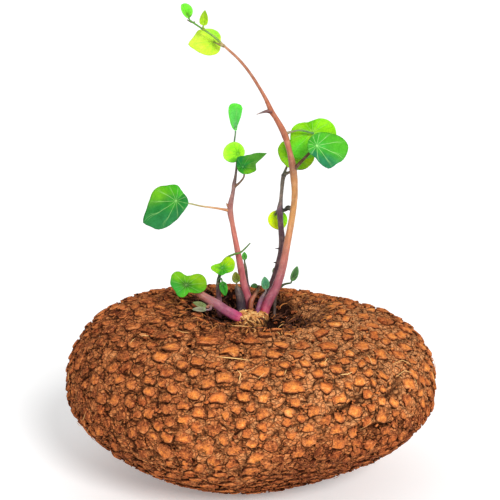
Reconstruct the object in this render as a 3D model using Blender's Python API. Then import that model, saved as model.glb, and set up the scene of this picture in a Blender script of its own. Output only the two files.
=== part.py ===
"""Stephania: a broad corky storage root resting on the ground, with young vine shoots in its crown.

All sizes are in millimetres and become metres where a mesh is made. The root stands with the middle of
its flat rest spot at the origin. Shoots and leaves are placed from the crown, the hollow on its top.
"""

import math
from dataclasses import dataclass

import bmesh
import bpy
import numpy as np
from mathutils import Vector

MM = 0.001
SEED = 11
GOLDEN_ANGLE = math.pi * (3.0 - math.sqrt(5.0))

# Storage root: half sizes of its rounded body, and how full its upper and lower halves are.
ROOT_HALF_WIDTH = 85.7
ROOT_HALF_DEPTH = 78.0
ROOT_HALF_TOP = 45.4
ROOT_HALF_BOTTOM = 45.2
ROOT_CENTRE = (8.0, 0.0, 41.8)
TOP_FULLNESS = 2.74
BOTTOM_FULLNESS = 1.56
THICKER_LEFT_END = 0.08
SHOULDERS = (((-0.80, 0.10, 0.60), 0.062), ((0.90, 0.10, 0.50), 0.058))
SHOULDER_SPREAD = 0.35
SWELLS = (((0.30, -0.90, -0.25), -0.022), ((-0.45, -0.85, 0.10), 0.018), ((0.05, 0.95, 0.20), -0.020),
          ((0.80, 0.00, -0.60), 0.023), ((-0.80, 0.00, -0.60), 0.011))
SWELL_SPREAD = 0.28

# Crown: the hollow on top with the woody knob that carries the shoots.
CROWN_AT = (7.6, -2.0, 80.0)
HOLLOW_AT = (11.0, -5.0)
HOLLOW_RADII = (33.0, 28.0)
HOLLOW_DEPTH = 9.5
HOLLOW_FLOOR_SHARE = 0.5
KNOB_AT = (9.0, -3.0)
KNOB_RADIUS = 10.0
KNOB_HEIGHT = 5.2
KNOB_FLAT_SHARE = 0.6
EDGE_SHARE = 1.1

# Corky plates: one on each cell of the bark, raised above the cracks between them.
BODY_PLATES = 460
CROWN_PLATES = 84
CROWN_PLATES_RADIUS = 33.0
PLATE_LIFT = (0.0, 1.2)
PLATE_SHARE = (0.76, 0.88)
PLATE_TILT = 0.7
CRACK_DEPTH = 1.2
CROWN_LIFT_SHARE = 0.7
LEVEL_NEAR_REST = 4.0
SHORTEST_CELL_EDGE = 0.012
SITE_JITTER = 0.028

# Sockets and joints.
SOCKET_DEPTH = 3.0
SOCKET_KNOTS = 9
CLEARANCE = 0.35
LEAF_GAP = 0.3
PETIOLE_END_RADIUS = 0.4
PETIOLE_REACH = 1.6
BLADE_THICKNESS = 0.8
ROUTE_STEPS = 2
WELD = 0.01

BARK = (166, 97, 57)
ROSE = (196, 104, 98)
TAN = (204, 140, 90)
MAUVE = (128, 92, 98)
GREY_GREEN = (110, 100, 84)
GREEN = (70, 160, 70)
FRESH = (112, 200, 52)
LIME = (176, 226, 62)
DEEP = (56, 130, 62)
SAGE = (136, 152, 120)


@dataclass(frozen=True)
class Leaf:
    """A blade: its hub on the petiole, the run from hub to tip, and the way its upper side looks."""

    name: str
    colour: tuple
    hub: tuple
    tip: tuple
    face: tuple
    back: float
    half_width: float
    swell: float = 0.8
    base_round: float = 0.5
    tip_round: float = 0.7
    cup: float = 0.8
    fold: float = 0.0
    wave: float = 0.0
    waves: int = 5
    lobe: float = 0.0
    under: bool = True
    rim: int = 16
    rings: int = 2


@dataclass(frozen=True)
class Limb:
    """A round shoot or side branch: knots of (x, y, z, radius), and the leaf it carries, if any."""

    knots: tuple
    carries: str = ""


@dataclass(frozen=True)
class Shoot:
    """A stem rooted in the crown at foot (x, y, radius), with its own limb and the side limbs on it."""

    name: str
    colour: tuple
    foot: tuple
    main: Limb
    sides: tuple = ()
    flank: int = 2


LEAVES = (
    Leaf("leaf_tall_front", GREEN, (30.4, 1.5, 83.8), (13.8, -0.2, -5.8), (0.20, -0.85, 0.50), 4.6, 9.0,
         swell=0.95, tip_round=0.5, cup=1.2, wave=0.7, waves=4, rim=24, rings=3),
    Leaf("leaf_tall_back", FRESH, (29.0, 13.5, 88.1), (-3.4, 1.5, -16.0), (-0.15, 0.97, 0.12), 6.8, 11.6,
         swell=0.8, tip_round=0.6, cup=1.2, wave=0.7, waves=4, rim=24, rings=3),
    Leaf("leaf_tall_tip_broad", LIME, (-16.9, 1.0, 132.1), (-11.0, 1.3, -1.5), (0.10, 0.95, 0.10), 3.6, 5.7,
         cup=0.6, wave=0.3, rim=20),
    Leaf("leaf_tall_tip_small", LIME, (-21.4, -4.9, 140.8), (0.9, 0.5, 5.7), (-0.40, -0.80, 0.30), 1.0, 2.2,
         swell=0.6, tip_round=0.8, fold=16.0, under=False),
    Leaf("leaf_tall_bud", FRESH, (-28.7, -5.4, 144.2), (-2.5, 1.6, 4.6), (0.30, -0.80, 0.50), 1.4, 3.2,
         swell=0.9, tip_round=0.5, cup=1.2, fold=35.0, under=False),
    Leaf("leaf_left_broad", GREEN, (-35.1, 0.0, 57.9), (-15.0, -1.8, -10.4), (-0.25, -0.80, 0.50), 5.4, 9.6,
         swell=0.85, tip_round=0.72, cup=1.4, wave=0.6, waves=5, rim=24, rings=3),
    Leaf("leaf_left_spoon", FRESH, (-7.4, 12.0, 90.2), (0.3, 1.6, 11.2), (0.30, -0.90, 0.20), 1.4, 3.1,
         swell=1.5, base_round=0.6, tip_round=0.5, cup=0.8, fold=8.0, under=False),
    Leaf("leaf_left_round", LIME, (-6.1, 7.3, 79.0), (-5.2, 2.7, 1.9), (-0.30, -0.85, 0.40), 3.9, 4.9,
         swell=1.0, tip_round=0.5, cup=0.8, rim=20),
    Leaf("leaf_left_pointed", DEEP, (-4.0, 2.7, 73.6), (11.3, 2.2, 4.6), (0.15, -0.90, 0.35), 3.6, 5.1,
         swell=0.55, tip_round=0.9, cup=0.8, fold=14.0, wave=0.4, rim=20),
    Leaf("leaf_back_round", LIME, (11.8, 26.2, 45.8), (3.0, 0.2, -8.0), (0.10, 0.95, 0.05), 1.6, 4.8,
         swell=0.9, tip_round=0.5, cup=0.7, rim=20),
    Leaf("leaf_back_top", FRESH, (20.1, 20.8, 74.4), (9.1, -0.9, -4.2), (0.05, -0.90, 0.30), 7.0, 6.4,
         swell=1.0, tip_round=0.5, cup=0.8, wave=0.4, rim=20),
    Leaf("leaf_back_small", DEEP, (23.2, 22.2, 69.0), (4.4, 1.2, 0.8), (0.10, -0.50, 0.80), 0.9, 1.3,
         tip_round=0.6, fold=12.0, cup=0.2, under=False),
    Leaf("leaf_stub_lobed", FRESH, (-30.4, -10.0, 19.8), (9.0, 0.0, 0.4), (0.00, -0.65, 0.75), 7.6, 6.9,
         swell=1.0, tip_round=0.5, cup=1.2, lobe=0.24, rim=24, rings=3),
    Leaf("leaf_stub_upper", SAGE, (-22.0, -12.6, 10.2), (-5.4, 0.4, 1.7), (0.10, -0.60, 0.80), 1.0, 1.6,
         cup=0.2, fold=15.0, under=False),
    Leaf("leaf_stub_lower", SAGE, (-21.9, -16.8, 9.8), (-5.6, -1.4, 0.5), (0.10, -0.60, 0.80), 1.0, 1.4,
         cup=0.2, fold=15.0, under=False),
    Leaf("leaf_shoot_upper", LIME, (-13.8, 4.3, 24.2), (7.0, 1.0, 1.2), (0.00, -0.70, 0.70), 5.0, 4.6,
         swell=1.0, tip_round=0.6, cup=0.8, wave=0.8, waves=3, rim=20),
    Leaf("leaf_shoot_lower", GREEN, (-13.6, 1.2, 17.2), (0.8, -2.6, -4.0), (0.10, -0.95, 0.20), 1.2, 2.6,
         cup=0.4, fold=10.0, under=False),
    Leaf("leaf_middle_bud", LIME, (-7.2, 9.2, 16.6), (-0.4, 0.4, 4.4), (0.00, -0.90, 0.10), 1.0, 2.1,
         cup=0.5, fold=25.0, tip_round=0.6, under=False),
    Leaf("leaf_behind_small", FRESH, (-3.3, 18.0, 25.6), (-0.1, 0.4, 3.0), (0.10, -0.90, 0.10), 0.9, 1.4,
         cup=0.2, fold=15.0, under=False),
    Leaf("leaf_violet", GREEN, (6.8, 4.6, 14.8), (-0.5, 1.2, 4.8), (0.20, -0.90, 0.20), 1.1, 2.1,
         cup=0.4, fold=15.0, under=False),
    Leaf("leaf_short", DEEP, (2.3, 12.6, 13.0), (-2.6, -0.9, 0.1), (0.20, -0.60, 0.70), 0.8, 1.4,
         cup=0.2, fold=15.0, under=False),
    Leaf("leaf_right", DEEP, (20.0, 12.6, 16.8), (2.2, 1.6, 5.8), (0.50, -0.80, 0.10), 1.2, 2.1,
         cup=0.3, fold=15.0, under=False),
    Leaf("leaf_far", FRESH, (11.6, 23.2, 16.8), (-0.3, 0.5, 2.6), (0.20, -0.90, 0.20), 0.8, 1.2,
         cup=0.2, under=False),
)

SHOOTS = (
    Shoot("stem_tall", TAN, (5.4, 5.2, 2.3), Limb(
        ((6.9, 6.1, 4.0, 2.45), (9.0, 7.0, 8.5, 2.35), (12.0, 8.0, 14.0, 2.2), (14.9, 9.0, 23.0, 2.05),
         (17.3, 10.0, 34.0, 1.95), (19.6, 11.0, 46.0, 1.85), (20.9, 11.0, 58.4, 1.8),
         (19.9, 10.0, 70.7, 2.1), (17.9, 9.0, 80.4, 1.65), (15.5, 8.0, 88.2, 1.8), (11.4, 6.2, 96.0, 1.45),
         (9.3, 5.2, 99.4, 1.6), (6.0, 4.0, 106.6, 1.25), (0.0, 2.0, 116.6, 1.15), (-5.5, 0.0, 123.7, 1.0),
         (-11.8, -2.0, 129.8, 0.9), (-17.2, -3.0, 134.8, 0.75), (-22.6, -4.0, 138.5, 0.6)),
        "leaf_tall_bud"), sides=(
        Limb(((19.9, 10.0, 70.7, 1.0), (23.6, 8.0, 75.2, 0.75), (27.2, 5.4, 79.6, 0.65)), "leaf_tall_front"),
        Limb(((15.5, 8.0, 88.2, 0.9), (18.6, 8.2, 88.9, 0.7), (23.0, 9.4, 89.3, 0.6)), "leaf_tall_back"),
        Limb(((9.3, 5.2, 99.4, 1.0), (6.5, 4.2, 99.4, 0.6), (3.7, 3.2, 98.9, 0.2))),
        Limb(((-12.4, -2.3, 130.3, 0.6), (-14.4, -2.6, 131.0, 0.5)), "leaf_tall_tip_broad"),
        Limb(((-21.4, -3.9, 137.7, 0.5), (-21.7, -4.4, 138.5, 0.45)), "leaf_tall_tip_small"),
        Limb(((-25.4, -4.7, 141.0, 0.4), (-27.2, -5.0, 141.3, 0.3), (-29.0, -5.4, 142.4, 0.2))),
    ), flank=2),
    Shoot("stem_left", ROSE, (-0.5, 13.5, 1.8), Limb(
        ((-1.0, 14.0, 4.0, 1.9), (-1.5, 14.0, 7.0, 2.0), (-3.4, 14.0, 14.6, 1.95), (-4.8, 13.0, 23.4, 1.8),
         (-6.7, 12.0, 33.6, 1.6), (-8.6, 11.0, 43.7, 1.4), (-10.0, 10.0, 51.8, 1.55), (-8.6, 10.0, 60.0, 1.1),
         (-7.6, 10.0, 66.8, 1.2), (-6.9, 10.0, 72.0, 0.8), (-6.7, 10.2, 77.0, 0.65), (-8.0, 10.8, 82.4, 0.5)),
        "leaf_left_spoon"), sides=(
        Limb(((-10.0, 10.0, 51.3, 0.9), (-16.1, 8.0, 53.2, 0.75), (-23.6, 6.0, 54.6, 0.6),
              (-29.2, 4.0, 56.0, 0.5)), "leaf_left_broad"),
        Limb(((-6.7, 10.0, 75.6, 0.6), (-6.0, 8.9, 76.8, 0.5)), "leaf_left_round"),
        Limb(((-7.6, 10.0, 66.4, 0.8), (-5.6, 7.8, 69.6, 0.6)), "leaf_left_pointed"),
        Limb(((-10.0, 10.0, 52.2, 0.7), (-11.2, 9.4, 53.6, 0.5), (-11.7, 9.0, 54.9, 0.2))),
    )),
    Shoot("stem_back", MAUVE, (5.5, 15.0, 1.8), Limb(
        ((6.2, 16.0, 3.4, 1.9), (10.2, 18.0, 12.0, 1.85), (13.8, 20.0, 23.1, 1.8), (15.1, 21.0, 31.4, 1.7),
         (14.4, 22.0, 41.2, 1.5), (13.9, 22.0, 48.6, 1.65), (14.3, 22.0, 53.0, 1.2), (14.7, 22.0, 58.0, 1.1),
         (15.6, 22.0, 65.4, 1.2), (18.2, 22.2, 67.2, 0.7)),
        "leaf_back_small"), sides=(
        Limb(((15.6, 22.0, 65.4, 0.9), (16.6, 22.4, 68.6, 0.6), (18.2, 23.2, 71.8, 0.5)), "leaf_back_top"),
        Limb(((13.9, 22.0, 48.6, 1.0), (16.2, 21.5, 48.8, 0.8), (17.8, 21.0, 50.0, 1.2),
              (19.4, 20.5, 49.6, 0.9), (20.4, 20.2, 50.2, 0.3))),
        Limb(((13.9, 22.0, 48.6, 0.8), (12.6, 23.6, 47.8, 0.6)), "leaf_back_round"),
        Limb(((15.1, 21.0, 33.4, 1.0), (16.6, 20.4, 35.2, 0.6), (17.2, 20.2, 36.8, 0.2))),
        Limb(((13.8, 20.0, 23.0, 0.9), (11.6, 19.2, 23.8, 0.4), (10.0, 18.8, 24.2, 0.15))),
    )),
    Shoot("stub_left", ROSE, (-1.5, -2.6, 2.2), Limb(
        ((-5.7, -3.4, 1.9, 2.5), (-11.4, -5.0, 5.4, 2.45), (-17.0, -7.0, 9.9, 2.3), (-21.6, -8.0, 13.1, 2.0),
         (-25.6, -8.4, 16.0, 1.3)),
        "leaf_stub_lobed"), sides=(
        Limb(((-17.0, -7.2, 9.6, 1.0), (-19.4, -9.8, 9.6, 0.8), (-20.6, -11.6, 9.8, 0.6)),
             "leaf_stub_upper"),
        Limb(((-19.2, -9.6, 9.4, 0.7), (-19.0, -13.4, 9.3, 0.6)), "leaf_stub_lower"),
    )),
    Shoot("shoot_left", MAUVE, (-15.8, 5.0, 1.7), Limb(
        ((-15.4, 5.0, 6.6, 1.7), (-15.8, 5.2, 12.1, 1.45), (-15.8, 5.6, 17.6, 1.0), (-15.0, 5.8, 20.4, 0.8)),
        "leaf_shoot_upper"), sides=(
        Limb(((-15.8, 5.4, 15.6, 0.9), (-14.8, 9.0, 23.0, 0.6), (-12.5, 9.4, 27.5, 0.55),
              (-8.1, 7.5, 30.3, 0.5), (-4.8, 6.5, 31.6, 0.45), (-0.5, 5.5, 36.2, 0.3))),
        Limb(((-15.8, 5.5, 17.0, 0.7), (-14.8, 3.8, 19.2, 0.5)), "leaf_shoot_lower"),
    )),
    Shoot("shoot_middle", GREY_GREEN, (-4.6, 8.5, 2.2), Limb(
        ((-4.9, 9.0, 3.0, 2.3), (-5.3, 9.0, 8.0, 2.1), (-6.6, 9.0, 12.5, 1.5)), "leaf_middle_bud")),
    Shoot("shoot_behind", MAUVE, (-0.5, 19.5, 1.0), Limb(
        ((-1.0, 20.0, 5.8, 1.0), (-2.0, 19.2, 12.2, 0.9), (-2.9, 18.2, 20.6, 0.8)), "leaf_behind_small"),
          flank=1),
    Shoot("shoot_short", TAN, (-0.2, 8.4, 1.2), Limb(
        ((0.0, 9.0, 5.5, 1.2), (1.8, 11.0, 9.0, 1.0), (3.2, 12.4, 10.8, 0.7)), "leaf_short"), flank=1),
    Shoot("shoot_violet", MAUVE, (2.4, 1.8, 1.1), Limb(
        ((3.4, 3.0, 4.9, 1.1), (5.0, 4.0, 9.4, 1.0)), "leaf_violet"), flank=1),
    Shoot("shoot_right", GREY_GREEN, (11.2, 13.0, 0.9), Limb(
        ((11.9, 14.0, 7.6, 0.8), (15.1, 14.0, 12.9, 0.6)), "leaf_right"), flank=1),
    Shoot("shoot_far", GREY_GREEN, (8.6, 20.6, 0.9), Limb(
        ((8.6, 21.2, 5.8, 0.9), (9.8, 22.6, 11.0, 0.8)), "leaf_far"), flank=1),
)


def smooth_step(start, end, value):
    """0 up to start, 1 from end on, and a soft rise between."""
    share = np.clip((value - start) / (end - start), 0.0, 1.0)
    return share * share * (3.0 - 2.0 * share)


def unit_rows(rows):
    return rows / np.linalg.norm(rows, axis=1, keepdims=True)


def bulge(directions, places, spread):
    """Share by which soft bumps at the given places swell the body along each direction."""
    total = np.zeros(len(directions))
    for place, height in places:
        middle = np.array(place) / np.linalg.norm(place)
        total += height * np.exp((directions @ middle - 1.0) / spread**2)
    return total


def crown_sink(x, y):
    """How far the crown hollow lies below the dome at x, y, less the rise of the woody knob in it."""
    hollow = np.hypot((x - HOLLOW_AT[0]) / HOLLOW_RADII[0], (y - HOLLOW_AT[1]) / HOLLOW_RADII[1])
    knob = np.hypot(x - KNOB_AT[0], y - KNOB_AT[1]) / KNOB_RADIUS
    sink = HOLLOW_DEPTH * (1.0 - smooth_step(HOLLOW_FLOOR_SHARE, EDGE_SHARE, hollow))
    return sink - KNOB_HEIGHT * (1.0 - smooth_step(KNOB_FLAT_SHARE, EDGE_SHARE, knob))


def body_surface(seats):
    """The body's outer surface under unit vectors that are measured with its half sizes as unit lengths."""
    half_height = np.where(seats[:, 2] >= 0.0, ROOT_HALF_TOP, ROOT_HALF_BOTTOM)
    stretched = seats * np.column_stack([np.full(len(seats), ROOT_HALF_WIDTH),
                                         np.full(len(seats), ROOT_HALF_DEPTH), half_height])
    ways = unit_rows(stretched)
    fullness = np.where(ways[:, 2] >= 0.0, TOP_FULLNESS, BOTTOM_FULLNESS)
    height_here = half_height * (1.0 - THICKER_LEFT_END * ways[:, 0])
    across = np.hypot(ways[:, 0] / ROOT_HALF_WIDTH, ways[:, 1] / ROOT_HALF_DEPTH)
    reach = (across**fullness + (np.abs(ways[:, 2]) / height_here) ** fullness) ** (-1.0 / fullness)
    reach *= 1.0 + bulge(ways, SHOULDERS, SHOULDER_SPREAD) + bulge(ways, SWELLS, SWELL_SPREAD)
    points = ways * reach[:, None] + np.array(ROOT_CENTRE)
    points[:, 2] -= np.where(ways[:, 2] > 0.0, crown_sink(points[:, 0], points[:, 1]), 0.0)
    return points


def outward(seats):
    """Unit normals of the body's surface, from two short steps along it."""
    step = 0.01
    helper = np.where(np.abs(seats[:, 2:3]) > 0.9, [[1.0, 0.0, 0.0]], [[0.0, 0.0, 1.0]])
    first = unit_rows(np.cross(helper, seats))
    second = np.cross(seats, first)
    along = body_surface(unit_rows(seats + step * first)) - body_surface(unit_rows(seats - step * first))
    over = body_surface(unit_rows(seats + step * second)) - body_surface(unit_rows(seats - step * second))
    return unit_rows(np.cross(along, over))


def bark_surface(seats, lift):
    """The body's surface raised by lift, with bark relief fading out to the flat rest spot."""
    ground = body_surface(seats)
    relief = lift * smooth_step(0.0, LEVEL_NEAR_REST, ground[:, 2])
    points = ground + outward(seats) * relief[:, None]
    points[:, 2] = np.maximum(points[:, 2], 0.0)
    return points


def plate_sites(rng):
    """Middles of the bark plates: spread evenly over the body, and closer together in the crown."""
    heights = np.linspace(-1.0, 1.0, 401)
    mean_half = 0.5 * (ROOT_HALF_WIDTH + ROOT_HALF_DEPTH)
    density = np.sqrt(ROOT_HALF_TOP**2 * (1.0 - heights**2) + (mean_half * heights) ** 2)
    filled = np.cumsum(density) / np.sum(density)
    count = np.arange(BODY_PLATES)
    z = np.interp((count + 0.5) / BODY_PLATES, filled, heights)
    turn = count * GOLDEN_ANGLE
    flat = np.sqrt(1.0 - z**2)
    body = np.column_stack([flat * np.cos(turn), flat * np.sin(turn), z])
    body = unit_rows(body + rng.normal(0.0, SITE_JITTER, body.shape))
    places = body_surface(body)
    off_crown = np.hypot(places[:, 0] - HOLLOW_AT[0], places[:, 1] - HOLLOW_AT[1]) > CROWN_PLATES_RADIUS
    body = body[off_crown | (body[:, 2] < 0.0)]
    spiral = np.arange(CROWN_PLATES)
    radius = CROWN_PLATES_RADIUS * np.sqrt((spiral + 0.5) / CROWN_PLATES)
    x = HOLLOW_AT[0] + radius * np.cos(spiral * GOLDEN_ANGLE) - ROOT_CENTRE[0]
    y = HOLLOW_AT[1] + radius * np.sin(spiral * GOLDEN_ANGLE) - ROOT_CENTRE[1]
    crown = np.column_stack([x / ROOT_HALF_WIDTH, y / ROOT_HALF_DEPTH, np.ones(CROWN_PLATES)])
    return np.vstack([body, unit_rows(crown)])


def cells_around(sites):
    """A closed bmesh of the cells that lie nearest to each site on the unit sphere."""
    hull = bmesh.new()
    for site in sites:
        hull.verts.new(site)
    bmesh.ops.convex_hull(hull, input=hull.verts)
    hull.normal_update()
    hull.faces.index_update()
    cells = bmesh.new()
    corners = [cells.verts.new(face.normal) for face in hull.faces]
    for vert in hull.verts:
        axis = vert.co.normalized()
        side = axis.orthogonal().normalized()
        front = axis.cross(side)
        around = sorted(vert.link_faces, key=lambda face: math.atan2(face.normal.dot(front),
                                                                     face.normal.dot(side)))
        cells.faces.new([corners[face.index] for face in around])
    hull.free()
    bmesh.ops.remove_doubles(cells, verts=cells.verts, dist=SHORTEST_CELL_EDGE)
    return cells


def raise_plates(cells, rng):
    """Pushes a smaller plate up from each cell, thicker on its lower side, and notes every vertex's lift."""
    lifts = cells.verts.layers.float.new("lift")
    for vert in cells.verts:
        vert[lifts] = -CRACK_DEPTH
    caps = bmesh.ops.extrude_discrete_faces(cells, faces=list(cells.faces))["faces"]
    for cap in caps:
        middle = cap.calc_center_median()
        share = rng.uniform(*PLATE_SHARE)
        lift = rng.uniform(*PLATE_LIFT)
        in_crown = middle.z > 0.0 and math.hypot(
            middle.x * ROOT_HALF_WIDTH + ROOT_CENTRE[0] - HOLLOW_AT[0],
            middle.y * ROOT_HALF_DEPTH + ROOT_CENTRE[1] - HOLLOW_AT[1]) < CROWN_PLATES_RADIUS
        if in_crown:
            lift *= CROWN_LIFT_SHARE
        size = max((vert.co - middle).length for vert in cap.verts)
        for vert in cap.verts:
            droop = (middle.z - vert.co.z) / size
            vert.co = middle + (vert.co - middle) * share
            vert[lifts] = lift + PLATE_TILT * max(droop, 0.0) * rng.uniform(0.4, 1.0)
    return lifts


def paint(obj, name, colour, roughness):
    """One Principled material of the given 0 to 255 screen colour."""
    material = bpy.data.materials.new(name)
    material.use_nodes = True
    shader = material.node_tree.nodes["Principled BSDF"]
    linear = [((value / 255.0 + 0.055) / 1.055) ** 2.4 for value in colour]
    shader.inputs["Base Color"].default_value = (*linear, 1.0)
    shader.inputs["Roughness"].default_value = roughness
    shader.inputs["Metallic"].default_value = 0.0
    obj.data.materials.clear()
    obj.data.materials.append(material)


def link(obj, parent=None):
    bpy.context.scene.collection.objects.link(obj)
    obj.parent = parent
    return obj


def build_root():
    """The storage root with its bark plates, before the sockets for the shoots are cut."""
    rng = np.random.default_rng(SEED)
    cells = cells_around(plate_sites(rng))
    lifts = raise_plates(cells, rng)
    seats = unit_rows(np.array([vert.co for vert in cells.verts]))
    lift = np.array([vert[lifts] for vert in cells.verts])
    for vert, point in zip(cells.verts, bark_surface(seats, lift)):
        vert.co = Vector(point) * MM
    bmesh.ops.triangulate(cells, faces=cells.faces)
    mesh = bpy.data.meshes.new("caudex")
    cells.to_mesh(mesh)
    cells.free()
    root = link(bpy.data.objects.new("caudex", mesh))
    paint(root, "bark", BARK, 0.9)
    return root


def smooth_route(knots):
    """A soft route through knots of (x, y, z, radius), with ROUTE_STEPS points to a span."""
    ends = [knots[0], *knots, knots[-1]]
    route = []
    for before, start, end, after in zip(ends, ends[1:], ends[2:], ends[3:]):
        for step in range(ROUTE_STEPS):
            t = step / ROUTE_STEPS
            route.append([0.5 * (2.0 * b + (c - a) * t + (2.0 * a - 5.0 * b + 4.0 * c - d) * t**2
                                 + (3.0 * b - a - 3.0 * c + d) * t**3)
                          for a, b, c, d in zip(before, start, end, after)])
    route.append(list(knots[-1]))
    return route


def as_mesh(obj, name):
    """Replaces an object by one whose mesh is the evaluated shape of the first."""
    bpy.context.view_layer.update()
    mesh = bpy.data.meshes.new_from_object(obj.evaluated_get(bpy.context.evaluated_depsgraph_get()))
    bpy.data.objects.remove(obj)
    mesh.name = name
    return link(bpy.data.objects.new(name, mesh))


def weld(solid):
    """Joins the caps of a tube to its sides."""
    shape = bmesh.new()
    shape.from_mesh(solid.data)
    bmesh.ops.remove_doubles(shape, verts=shape.verts, dist=WELD * MM)
    shape.to_mesh(solid.data)
    shape.free()
    return solid


def tube(name, route, flank, extra=0.0):
    """A closed round mesh along a route, made thicker by extra."""
    curve = bpy.data.curves.new(name, "CURVE")
    curve.dimensions = "3D"
    curve.bevel_depth = MM
    curve.bevel_resolution = flank
    curve.use_fill_caps = True
    spline = curve.splines.new("POLY")
    spline.points.add(len(route) - 1)
    for point, (x, y, z, radius) in zip(spline.points, route):
        point.co = (x * MM, y * MM, z * MM, 1.0)
        point.radius = radius + extra
    return weld(as_mesh(link(bpy.data.objects.new(name, curve)), name))


def combine(target, pieces, operation):
    """Joins the pieces to the target, or cuts them out of it, and removes them."""
    group = bpy.data.collections.new("pieces")
    bpy.context.scene.collection.children.link(group)
    for piece in pieces:
        bpy.context.scene.collection.objects.unlink(piece)
        group.objects.link(piece)
    modifier = target.modifiers.new("combine", "BOOLEAN")
    modifier.operation = operation
    modifier.operand_type = "COLLECTION"
    modifier.collection = group
    modifier.solver = "EXACT"
    result = as_mesh(target, target.name)
    for piece in pieces:
        bpy.data.objects.remove(piece)
    bpy.data.collections.remove(group)
    return result


def axes_of(leaf):
    """Unit vectors of a leaf: along its midrib, across it, and out of its upper side."""
    along = Vector(leaf.tip).normalized()
    face = Vector(leaf.face)
    face = (face - along * face.dot(along)).normalized()
    return along, face.cross(along), face


def leaf_seat(leaf):
    """The last two points of the petiole: one short of the blade, and one just clear of it."""
    along, _, face = axes_of(leaf)
    hub = Vector(leaf.hub)
    if leaf.under:
        return hub - face * PETIOLE_REACH, hub - face * (0.5 * BLADE_THICKNESS + LEAF_GAP)
    base = hub - along * leaf.back
    return base - along * (LEAF_GAP + 0.8), base - along * LEAF_GAP


def limb_route(limb, leaves):
    """A limb's knots made smooth, with a short straight end at the leaf that it carries."""
    if not limb.carries:
        return smooth_route(limb.knots)
    short, clear = leaf_seat(leaves[limb.carries])
    route = smooth_route([*limb.knots, (*short, PETIOLE_END_RADIUS)])
    return [*route, [*clear, PETIOLE_END_RADIUS]]


def rooted(shoot, root):
    """The shoot's own limb, started SOCKET_DEPTH below the bark at its foot."""
    x, y, radius = shoot.foot
    above = Vector((x + CROWN_AT[0], y + CROWN_AT[1], CROWN_AT[2] + 60.0)) * MM
    _, hit, _, _ = root.ray_cast(above, Vector((0.0, 0.0, -1.0)))
    foot = (x, y, hit.z / MM - CROWN_AT[2] - SOCKET_DEPTH, radius)
    return Limb((foot, *shoot.main.knots), shoot.main.carries)


def build_shoot(shoot, crown, root, leaves):
    """One shoot with its side limbs fused to it, and the cutter of its socket in the root."""
    route = limb_route(rooted(shoot, root), leaves)
    stem = tube(shoot.name, route, shoot.flank)
    if shoot.sides:
        stem = combine(stem, [tube("limb", limb_route(side, leaves), 1) for side in shoot.sides], "UNION")
    stem.parent = crown
    stem.data.set_sharp_from_angle(angle=math.radians(50.0))
    paint(stem, shoot.name, shoot.colour, 0.5)
    run_in = Vector(route[0][:3]) - Vector(route[1][:3])
    start = Vector(route[0][:3]) + run_in.normalized() * CLEARANCE
    cutter = tube("socket", [[*start, route[0][3]], *route[1:SOCKET_KNOTS]], shoot.flank, CLEARANCE)
    cutter.location = Vector(CROWN_AT) * MM
    return stem, cutter


def blade_outline(leaf):
    """Points round a blade, as (along, across) from its hub, from the tip round to the tip again."""
    length = Vector(leaf.tip).length + leaf.back
    outline = []
    for index in range(leaf.rim):
        turn = 2.0 * math.pi * index / leaf.rim
        share = 0.5 * (1.0 + math.cos(turn))
        blunt = leaf.base_round + (leaf.tip_round - leaf.base_round) * share
        width = leaf.half_width * max(math.sin(math.pi * share**leaf.swell), 0.0) ** blunt
        along = share * length - leaf.back
        across = math.copysign(width, math.sin(turn)) if 0 < index != leaf.rim // 2 else 0.0
        angle = math.atan2(across, along)
        grow = 1.0 + leaf.lobe * math.cos(3.0 * angle)
        outline.append((along * grow, across * grow))
    return outline


def build_leaf(leaf, crown):
    """A thin blade with rings of points round its hub, split into triangles before it is thickened."""
    along, across, face = axes_of(leaf)
    hub = Vector(leaf.hub)
    reach = Vector(leaf.tip).length
    tilt = math.radians(leaf.fold)
    blade = bmesh.new()
    middle = blade.verts.new(hub * MM)
    rings = []
    for ring in range(1, leaf.rings + 1):
        share = ring / leaf.rings
        verts = []
        for run, side in blade_outline(leaf):
            u = run * share
            v = side * share
            angle = math.atan2(side, run)
            rise = leaf.cup * (u * u + v * v) / reach**2
            rise += leaf.wave * share**2 * math.sin(leaf.waves * angle)
            rise += abs(v) * math.sin(tilt)
            point = hub + along * u + across * v * math.cos(tilt) + face * rise
            verts.append(blade.verts.new(point * MM))
        rings.append(verts)
    for index in range(leaf.rim):
        after = (index + 1) % leaf.rim
        blade.faces.new((middle, rings[0][index], rings[0][after]))
        for inner, outer in zip(rings, rings[1:]):
            blade.faces.new((inner[index], outer[index], outer[after]))
            blade.faces.new((inner[index], outer[after], inner[after]))
    mesh = bpy.data.meshes.new(leaf.name)
    blade.to_mesh(mesh)
    blade.free()
    obj = link(bpy.data.objects.new(leaf.name, mesh), crown)
    thicken = obj.modifiers.new("thicken", "SOLIDIFY")
    thicken.thickness = BLADE_THICKNESS * MM
    thicken.offset = 0.0
    paint(obj, leaf.name, leaf.colour, 0.55)
    return obj


def main():
    for obj in list(bpy.data.objects):
        bpy.data.objects.remove(obj)
    crown = link(bpy.data.objects.new("crown", None))
    crown.location = Vector(CROWN_AT) * MM
    root = build_root()
    leaves = {leaf.name: leaf for leaf in LEAVES}
    bpy.context.view_layer.update()
    built = [build_shoot(shoot, crown, root, leaves) for shoot in SHOOTS]
    root = combine(root, [cutter for _, cutter in built], "DIFFERENCE")
    for leaf in LEAVES:
        build_leaf(leaf, crown)


if __name__ == "__main__":
    main()
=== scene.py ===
"""Dressed stephania: corky storage root, fibrous crown, young vine shoots and shield-shaped leaves.

Sizes are in millimetres until a mesh is written, and in metres after that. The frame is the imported
part's own: +Z up, with the middle of the flat rest spot at the origin.
"""

import logging
import math
from dataclasses import dataclass, field
from enum import Enum

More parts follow.
